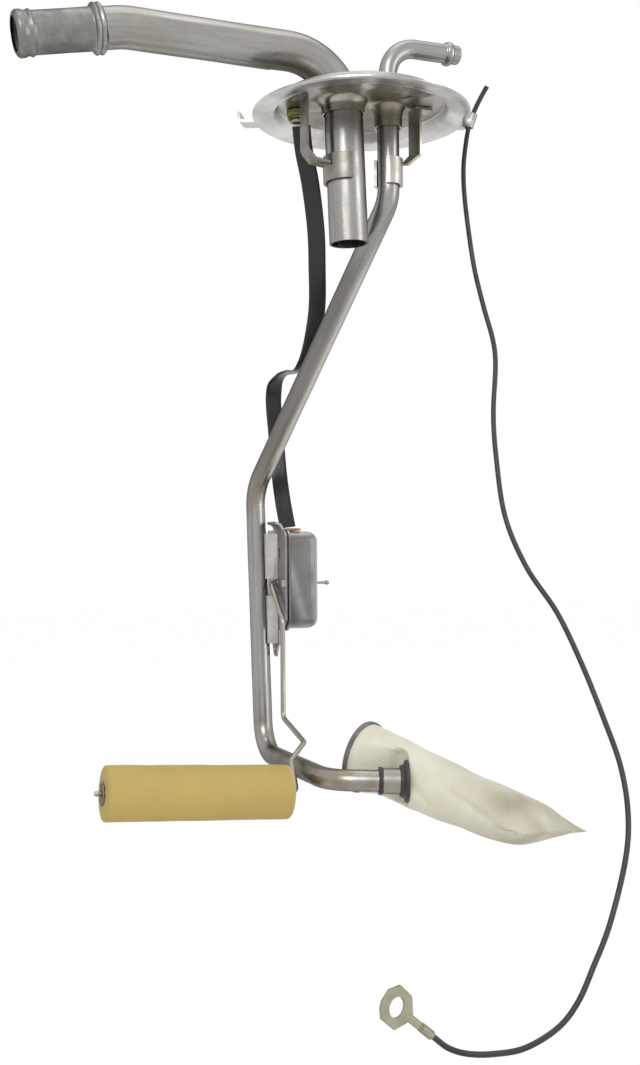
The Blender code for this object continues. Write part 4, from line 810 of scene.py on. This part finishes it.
def make_float_rod():
    crank = PIVOT + Vector((0, -ARM_CRANK, -ARM_CRANK))
    foot = crank - Vector((0, 0, ARM_DROP))
    reach = foot + ARM_REACH
    corners = [
        PIVOT + ROD_START,
        PIVOT,
        crank,
        foot,
        reach,
        reach + ARM_HOOK,
        FLOAT_END - FLOAT_AXIS * ROD_LEAD_IN,
        FLOAT_END + FLOAT_AXIS * (FLOAT_LENGTH + ROD_TAIL),
    ]
    route = filleted(corners, ROD_BENDS, math.radians(5))
    total = route_length(route)
    points = at_distances(route, [*steps_between(0, total, ROD_STEP), total])
    end = ROD_RADIUS * ROD_END_SHARE
    radii = [end, *[ROD_RADIUS] * (len(points) - 2), end]
    frames = carried_frames(points, (0, 0, 1))
    loops = [ring_of(*turned, radius, ROD_SIDES) for turned, radius in zip(frames, radii)]
    shown_piece("float_rod_skin", loft("float_rod_skin", loops), "float_rod")


# Depth from the float's end and share of its radius, from the bore's rim to the full round
FLOAT_PROFILE = (
    (0.0, 0.24),
    (0.00005, 0.60),
    (0.0, 0.88),
    (0.0002, 0.945),
    (0.0006, 0.985),
    (0.0013, 1.0),
)
FLOAT_RIM_DEPTH = 0.0002
FLOAT_STEP = 0.0010
FLOAT_SIDES = 96
# Scale and depth of the waves in the cut surface, which lies a little under the true round
FOAM_WAVES = ((90, 0.00016), (420, 0.00005))
FOAM_LOSS = 0.00015
# The flat end faces up to this share of the radius stay true
FOAM_FACE = 0.8


def make_float():
    """The foam float: soft edges, a slightly sunk face at each end and an uneven cut surface."""
    side = FLOAT_AXIS.cross(Vector((0, 1, 0))).normalized()
    up = FLOAT_AXIS.cross(side)
    edge = FLOAT_PROFILE[-1][0]
    near = [(FLOAT_RIM_DEPTH, ROD_RADIUS + GAP)]
    near += [(depth, FLOAT_RADIUS * share) for depth, share in FLOAT_PROFILE]
    places = steps_between(edge + FLOAT_STEP, FLOAT_LENGTH - edge, FLOAT_STEP)
    body = [(place, FLOAT_RADIUS) for place in places]
    far = [(FLOAT_LENGTH - depth, radius) for depth, radius in near[::-1]]
    loops = []
    for place, radius in near + body + far:
        centre = FLOAT_END + FLOAT_AXIS * place
        loop = ring_of(centre, side, up, radius, FLOAT_SIDES)
        if radius > FLOAT_RADIUS * FOAM_FACE:
            for i, point in enumerate(loop):
                waves = sum(wrinkled(point, scale, depth) for scale, depth in FOAM_WAVES)
                loop[i] = point + (point - centre).normalized() * (waves - FOAM_LOSS)
        loops.append(loop)
    shown_piece("float_foam", loft("float_foam", loops, joined=True), "float", sharp=50)


# Pivot shaft

SHAFT_RADIUS = 0.0021
SHAFT_COLLAR_RADIUS = 0.0014
SHAFT_NECK_RADIUS = 0.00072
SHAFT_HEAD_RADIUS = 0.00105
SHAFT_STUB = 0.0102
SHAFT_SHOULDER = 0.0113
SHAFT_HEAD = 0.0021
SHAFT_CHAMFER = 0.0003
SHAFT_EASE = 0.0002
SHAFT_TAPER = (0.0006, 0.0010)
SHAFT_SIDES = 32


def make_pivot_shaft():
    """The shaft through the can, with a slim neck and a small head outside it."""
    ends = [vertex.co.x for vertex in NODES["pivot_shaft"].data.vertices]
    start, tip = min(ends), max(ends)
    taper_start, taper_end = (tip - SHAFT_STUB + way for way in SHAFT_TAPER)
    profile = (
        (start, SHAFT_RADIUS - SHAFT_EASE),
        (start + SHAFT_EASE, SHAFT_RADIUS),
        (tip - SHAFT_SHOULDER, SHAFT_RADIUS),
        (tip - SHAFT_SHOULDER, SHAFT_COLLAR_RADIUS),
        (taper_start, SHAFT_COLLAR_RADIUS),
        (taper_end, SHAFT_NECK_RADIUS),
        (tip - SHAFT_HEAD, SHAFT_NECK_RADIUS),
        (tip - SHAFT_HEAD + SHAFT_CHAMFER, SHAFT_HEAD_RADIUS),
        (tip - SHAFT_CHAMFER, SHAFT_HEAD_RADIUS),
        (tip, SHAFT_HEAD_RADIUS - SHAFT_CHAMFER),
    )
    side, up = Vector((0, 1, 0)), Vector((0, 0, 1))
    loops = [ring_of(Vector((x, PIVOT.y, PIVOT.z)), side, up, radius, SHAFT_SIDES) for x, radius in profile]
    shown_piece("shaft_turned", loft("shaft_turned", loops), "pivot_shaft", sharp=30)


# Filter sock

SOCK_START = Vector((0.0138, 0.0372, -0.2796))
SOCK_AXIS = Vector((0.575, -0.795, -0.195)).normalized()
SOCK_ACROSS = SOCK_AXIS.cross(Vector((0, 0, 1))).normalized()
SOCK_UP = SOCK_ACROSS.cross(SOCK_AXIS).normalized()
SOCK_RADIUS = 0.0156
SOCK_LENGTH = 0.0965
SOCK_SEAM_SKEW = 0.22
SOCK_SEAM_LIFT = 0.09
# Shares along the bag: distance, width and height against the ring's radius, and how far the middle sinks
SOCK_SECTIONS = (
    (0.000, 1.00, 1.000, 0.000),
    (0.125, 1.00, 0.890, 0.005),
    (0.310, 1.02, 0.850, 0.118),
    (0.515, 1.08, 0.755, 0.235),
    (0.685, 1.17, 0.715, 0.305),
    (0.800, 1.27, 0.670, 0.338),
    (0.880, 1.35, 0.560, 0.345),
    (0.945, 1.42, 0.310, 0.340),
    (1.000, 1.47, 0.040, 0.333),
)
SOCK_SIDES = 144
SOCK_RINGS = 150
# Shares of the length over which folds fade at the ring and at the sewn end
SOCK_HELD = (0.06, 0.08)
# Scale and depth of the cloth's slack, and how far its pattern runs along the bag
SLACK = (75, 0.0007)
SLACK_LENGTH = 0.1
FOLD_TAPER = (0.05, 0.95)
FOLD_SHOULDER = 0.35
FOLD_SHOULDER_WIDTH = 2.2
# Folds in the cloth: share along and turn in degrees of each end, depth and half width in metres
SOCK_FOLDS = (
    ((0.14, 62), (0.30, 12), 0.0016, 0.0022),
    ((0.22, 95), (0.36, 140), 0.0010, 0.0030),
    ((0.30, 20), (0.52, -24), 0.0010, 0.0026),
    ((0.40, -40), (0.66, -66), 0.0008, 0.0032),
    ((0.50, 34), (0.86, 4), 0.0013, 0.0024),
    ((0.84, -8), (0.99, -2), 0.0012, 0.0016),
    ((0.62, 150), (0.92, 176), 0.0011, 0.0030),
    ((0.58, 100), (0.84, 62), 0.0008, 0.0034),
    ((0.06, -60), (0.22, -88), 0.0008, 0.0024),
    ((0.06, 176), (0.26, 158), 0.0008, 0.0026),
)


def section_at(share):
    """(wide, tall, sink) of the bag at a share of its length, on a smooth curve through the sections."""
    for i in range(len(SOCK_SECTIONS) - 1):
        if share <= SOCK_SECTIONS[i + 1][0]:
            break
    last = len(SOCK_SECTIONS) - 1
    rows = [SOCK_SECTIONS[min(max(k, 0), last)] for k in range(i - 1, i + 3)]
    t = (share - rows[1][0]) / (rows[2][0] - rows[1][0])
    return [between(*(row[k] for row in rows), t) for k in (1, 2, 3)]


def fold_depth(share, angle):
    """How far the folds press the cloth in at a place on the bag."""
    x, y = share * SOCK_LENGTH, angle * SOCK_RADIUS
    pressed = 0.0
    least, most = FOLD_TAPER
    for (start, start_turn), (end, end_turn), depth, width in SOCK_FOLDS:
        ax, ay = start * SOCK_LENGTH, math.radians(start_turn) * SOCK_RADIUS
        bx, by = end * SOCK_LENGTH, math.radians(end_turn) * SOCK_RADIUS
        run = (bx - ax) ** 2 + (by - ay) ** 2
        along = min(1.0, max(0.0, ((x - ax) * (bx - ax) + (y - ay) * (by - ay)) / run))
        away = math.hypot(x - ax - along * (bx - ax), y - ay - along * (by - ay))
        taper = math.sin(math.pi * min(most, max(least, along)))
        valley = math.exp(-((away / width) ** 2))
        shoulder = FOLD_SHOULDER * math.exp(-((away / width / FOLD_SHOULDER_WIDTH) ** 2))
        pressed += depth * taper * (valley - shoulder)
    return pressed


# The pocket where the cloth gives way to the grommet and to the pickup tube behind it
BARREL_OVERLAP = 0.0022
GROMMET_RADIUS = 0.0093
POCKET_WAY = (FUEL_CORNERS[0] - FUEL_CORNERS[1]).normalized()
POCKET_MOUTH = FUEL_CORNERS[0] + POCKET_WAY * (BARREL_OVERLAP + GAP)
# The way the cloth is pressed, square to the tube
POCKET_IN = Vector((0.3143, 0.9467, 0.0710))
POCKET_SIDE = POCKET_WAY.cross(POCKET_IN)
POCKET_ROOM = 0.0005
# Place along the tube from the grommet's end face, and the radius that stays free of cloth there
POCKET_RADII = (
    (-0.0180, 0.0060),
    (-0.0080, 0.0075),
    (-0.0045, GROMMET_RADIUS + POCKET_ROOM),
)
POCKET_BEND = 0.0080
POCKET_START = 0.0015
SHOULDER_WIDTH = (0.0100, 0.0210)
SHOULDER_DEPTH = (0.0040, 0.0125)
# The cloth near the pocket is smoothed this many times, within these distances round and along the tube
EASINGS = 10
EASING_ROUND = (0.018, 0.022)
EASING_ALONG = (0.0005, 0.0030)


def faded(value, near, far):
    """1 up to near and 0 from far on, with a soft slope between."""
    t = min(1.0, max(0.0, (value - near) / (far - near)))
    return 1 - t * t * (3 - 2 * t)


def drawn_back(point):
    """A point of the cloth, moved past the grommet's end face or aside from the tube if it is in the way."""
    reach = point - POCKET_MOUTH
    along, aside, depth = (reach.dot(way) for way in (POCKET_WAY, POCKET_SIDE, POCKET_IN))
    if along > 0:
        return point
    shoulder = faded(abs(aside), *SHOULDER_WIDTH) * faded(depth, *SHOULDER_DEPTH)
    behind = -along * (1 - shoulder)
    radius = blended(-behind, POCKET_RADII)
    share = faded(abs(aside), radius, radius + POCKET_BEND) * min(1.0, behind / POCKET_START)
    inward = max(0.0, radius * share - depth) * share
    return point - POCKET_WAY * along * shoulder + POCKET_IN * inward


def eased(loops, k):
    """Loop k with each point near the pocket moved up to half way to the middle of its neighbours."""
    loop = []
    for i, point in enumerate(loops[k]):
        reach = point - POCKET_MOUTH
        along = reach.dot(POCKET_WAY)
        away = (reach - POCKET_WAY * along).length
        share = 0.5 * faded(away, *EASING_ROUND) * faded(along, *EASING_ALONG)
        beside = loops[k - 1][i] + loops[k + 1][i] + loops[k][i - 1] + loops[k][(i + 1) % SOCK_SIDES]
        loop.append(point.lerp(beside / 4, share))
    return loop


def sock_point(share, angle):
    """A point of the cloth by its share of the bag's length and its angle round it."""
    wide, tall, sink = section_at(share)
    centre = SOCK_START + SOCK_AXIS * share * SOCK_LENGTH - SOCK_UP * sink * SOCK_RADIUS
    across = SOCK_ACROSS - (SOCK_AXIS * SOCK_SEAM_SKEW - SOCK_UP * SOCK_SEAM_LIFT) * share**2
    offset = across * math.cos(angle) * wide + SOCK_UP * math.sin(angle) * tall
    turn = angle - 2 * math.pi if angle > math.pi else angle
    at_ring, at_seam = SOCK_HELD
    loose = min(1.0, share / at_ring) * min(1.0, (1 - share) / at_seam)
    slack = wrinkled(SOCK_START + offset * SOCK_RADIUS + SOCK_AXIS * share * SLACK_LENGTH, *SLACK)
    inward = fold_depth(share, turn) + slack
    return drawn_back(centre + offset * (SOCK_RADIUS - inward * loose))


def make_sock():
    """The filter bag: a lofted shell with folds, a flat sewn end and a hollow round the grommet."""
    shares = [i / SOCK_RINGS for i in range(SOCK_RINGS + 1)]
    loops = [[sock_point(share, angle) for angle in angles_round(SOCK_SIDES)] for share in shares]
    for _ in range(EASINGS):
        loops = [loops[0], *(eased(loops, k) for k in range(1, len(loops) - 1)), loops[-1]]
    shown_piece("sock_cloth", loft("sock_cloth", loops), "filter_sock", sharp=70)


# Flat lead

RECESS_STUD = Matrix.Rotation(math.radians(145.9), 3, "Z") @ Vector((0.0285, 0, 0))
FACING = Vector((0.94, -0.34, 0))
TURNING = Vector((0.85, 0.20, 0))
SIDEWAYS = Vector((0.60, 0.80, 0))
LEAD_WIDTH = 0.0080
LEAD_THICKNESS = 0.0009
LEAD_STEPS = 12
LEAD_SIDES = 40
# How square the ribbon's section is, across and through it, and the groove between its two cores
LEAD_SQUARENESS = (0.35, 0.55)
GROOVE_DEPTH = 0.30
GROOVE_WIDTH = 0.0007
EYELET_JOIN = Vector((0.0022, 0.0010, -0.0004))
BOARD_JOIN = Vector((0.0072, -0.0050, 0.0279))
# Each point of the ribbon's middle with the direction that its width takes there
LEAD_ROUTE = (
    (RECESS_STUD + EYELET_JOIN, FACING),
    ((-0.0190, 0.0205, -0.0100), FACING),
    ((-0.0140, 0.0260, -0.0235), FACING),
    ((-0.0076, 0.0371, -0.0402), FACING),
    ((-0.0037, 0.0466, -0.0552), FACING),
    ((0.0004, 0.0582, -0.0703), FACING),
    ((0.0010, 0.0662, -0.0840), FACING),
    ((0.0004, 0.0712, -0.0925), FACING),
    ((-0.0003, 0.0758, -0.0968), FACING),
    ((-0.0006, 0.0820, -0.0979), TURNING),
    ((-0.0013, 0.0920, -0.0969), SIDEWAYS),
    ((-0.0030, 0.1015, -0.0972), SIDEWAYS),
    ((-0.0040, 0.1085, -0.1002), TURNING),
    ((-0.0036, 0.1130, -0.1063), FACING),
    ((-0.0028, 0.1150, -0.1132), FACING),
    ((-0.0013, 0.1168, -0.1232), FACING),
    ((-0.0005, 0.1165, -0.1360), FACING),
    ((-0.0004, 0.1135, -0.1480), FACING),
    ((-0.0006, 0.1075, -0.1610), FACING),
    (PIVOT + BOARD_JOIN, FACING),
)


def make_flat_lead():
    """The two-core ribbon: its width turns with each point of its route, and its edges are rounded."""
    places = smooth_route([Vector(place) for place, _ in LEAD_ROUTE], LEAD_STEPS)
    widths = smooth_route([width for _, width in LEAD_ROUTE], LEAD_STEPS)
    half, thick = LEAD_WIDTH / 2, LEAD_THICKNESS / 2
    square_x, square_y = LEAD_SQUARENESS
    section = []
    for angle in angles_round(LEAD_SIDES):
        x = half * math.copysign(abs(math.cos(angle)) ** square_x, math.cos(angle))
        groove = 1 - GROOVE_DEPTH * math.exp(-((x / GROOVE_WIDTH) ** 2))
        y = thick * math.copysign(abs(math.sin(angle)) ** square_y, math.sin(angle)) * groove
        section.append((x, y))
    loops = []
    for i, (place, width) in enumerate(zip(places, widths)):
        along = (places[min(i + 1, len(places) - 1)] - places[max(i - 1, 0)]).normalized()
        across = (width - along * width.dot(along)).normalized()
        normal = along.cross(across)
        loops.append([place + across * x + normal * y for x, y in section])
    shown_piece("ribbon", loft("ribbon", loops), "flat_lead")


# Ground wire

WIRE_RADIUS = 0.00105
TERMINAL_CENTRE = Vector((-0.0352, -0.1131, -0.3391))
TERMINAL_TURNS = ((-20, "Z"), (90, "X"), (39, "Y"), (-39, "Z"))
TERMINAL_NECK = 0.0150
TERMINAL_BARREL = 0.0056
WIRE_STEPS = 8
WIRE_SIDES = 20
# How far out from the barrel's mouth the wire comes into line with it
WIRE_ENTRY = 0.0030
# The route's point at the crimp, where the free wire starts
CLIP_POINT = 3
WIRE_ROUTE = (
    (0.0572, -0.0064, 0.0182),
    (0.0552, -0.0040, 0.0136),
    (0.0532, -0.0014, 0.0080),
    (0.0512, 0.0000, 0.0010),
    (0.0493, -0.0005, -0.0080),
    (0.0478, -0.0015, -0.0180),
    (0.0468, -0.0043, -0.0310),
    (0.0466, -0.0092, -0.0506),
    (0.0472, -0.0130, -0.0660),
    (0.0485, -0.0185, -0.0826),
    (0.0500, -0.0235, -0.0970),
    (0.0492, -0.0272, -0.1085),
    (0.0458, -0.0314, -0.1290),
    (0.0440, -0.0368, -0.1473),
    (0.0437, -0.0446, -0.1724),
    (0.0484, -0.0533, -0.1931),
    (0.0564, -0.0635, -0.2114),
    (0.0614, -0.0731, -0.2309),
    (0.0652, -0.0826, -0.2516),
    (0.0672, -0.0904, -0.2682),
    (0.0660, -0.0970, -0.2843),
    (0.0614, -0.1023, -0.2999),
    (0.0511, -0.1077, -0.3211),
    (0.0420, -0.1108, -0.3350),
    (0.0342, -0.1131, -0.3458),
    (0.0252, -0.1144, -0.3533),
    (0.0122, -0.1146, -0.3584),
    (0.0003, -0.1130, -0.3594),
    (-0.0078, -0.1100, -0.3592),
    (-0.0136, -0.1080, -0.3573),
)


def terminal_mouth():
    """(mouth, direction) of the ring terminal's barrel, where the wire goes in."""
    frame_there = Matrix.Translation(TERMINAL_CENTRE)
    for angle, axis in TERMINAL_TURNS:
        frame_there = frame_there @ Matrix.Rotation(math.radians(angle), 4, axis)
    mouth = frame_there @ Vector((TERMINAL_NECK + TERMINAL_BARREL, 0, 0))
    return mouth, (mouth - TERMINAL_CENTRE).normalized()


def make_ground_wire():
    """The free wire from the crimp to the ring terminal, as a curve, and its stub above the crimp."""
    mouth, direction = terminal_mouth()
    points = smooth_route([*map(Vector, WIRE_ROUTE), mouth + direction * WIRE_ENTRY], WIRE_STEPS)
    points.append(mouth + direction * GAP)
    clip = CLIP_POINT * WIRE_STEPS
    stub_points, free = points[: clip + 1], points[clip:]
    curve = bpy.data.curves.new("wire_line", "CURVE")
    curve.dimensions = "3D"
    curve.bevel_depth = WIRE_RADIUS
    curve.bevel_resolution = 4
    curve.use_fill_caps = True
    spline = curve.splines.new("POLY")
    spline.points.add(len(free) - 1)
    for point, place in zip(spline.points, free):
        point.co = (*place, 1)
    wire = placed("wire_line", curve)
    curve.materials.append(WIRE_PVC)
    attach(wire, "unit")
    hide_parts("ground_wire")
    loops = [ring_of(*turned, WIRE_RADIUS, WIRE_SIDES) for turned in carried_frames(stub_points, (1, 0, 0))]
    stub = shown_piece("wire_stub", loft("wire_stub", loops), "ground_wire")


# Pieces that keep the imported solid's shape, with merged facets and slightly rounded edges

KEPT_SHAPES = [name for name, look in LOOKS.items() if len(look) == 4]
SAME_PLACE = 0.000004
FLAT_ANGLE = math.radians(0.6)


def rounded_copy(name):
    """The node's solid as a piece of its own: flat facets merged, and each hard edge rounded a little."""
    _, _, radius, sharp = LOOKS[name]
    mesh = NODES[name].data.copy()
    mesh.name = name + "_skin"
    shape = bmesh.new()
    shape.from_mesh(mesh)
    bmesh.ops.remove_doubles(shape, verts=shape.verts, dist=SAME_PLACE)
    bmesh.ops.dissolve_limit(
        shape, angle_limit=FLAT_ANGLE, verts=shape.verts, edges=shape.edges, use_dissolve_boundaries=False
    )
    shape.to_mesh(mesh)
    shape.free()
    piece = shown_piece(name + "_skin", mesh, name, sharp)
    if radius:
        bevel = piece.modifiers.new("rounded", "BEVEL")
        bevel.width = radius
        bevel.segments = 2
        bevel.limit_method = "ANGLE"
        bevel.angle_limit = math.radians(sharp)
        bevel.harden_normals = True
    return piece


make_vent_tube()
make_fuel_tube()
make_float_rod()
make_float()
make_pivot_shaft()
make_sock()
make_flat_lead()
SHOWN = {name: rounded_copy(name) for name in KEPT_SHAPES}
make_ground_wire()

bpy.context.scene.view_settings.view_transform = "Standard"
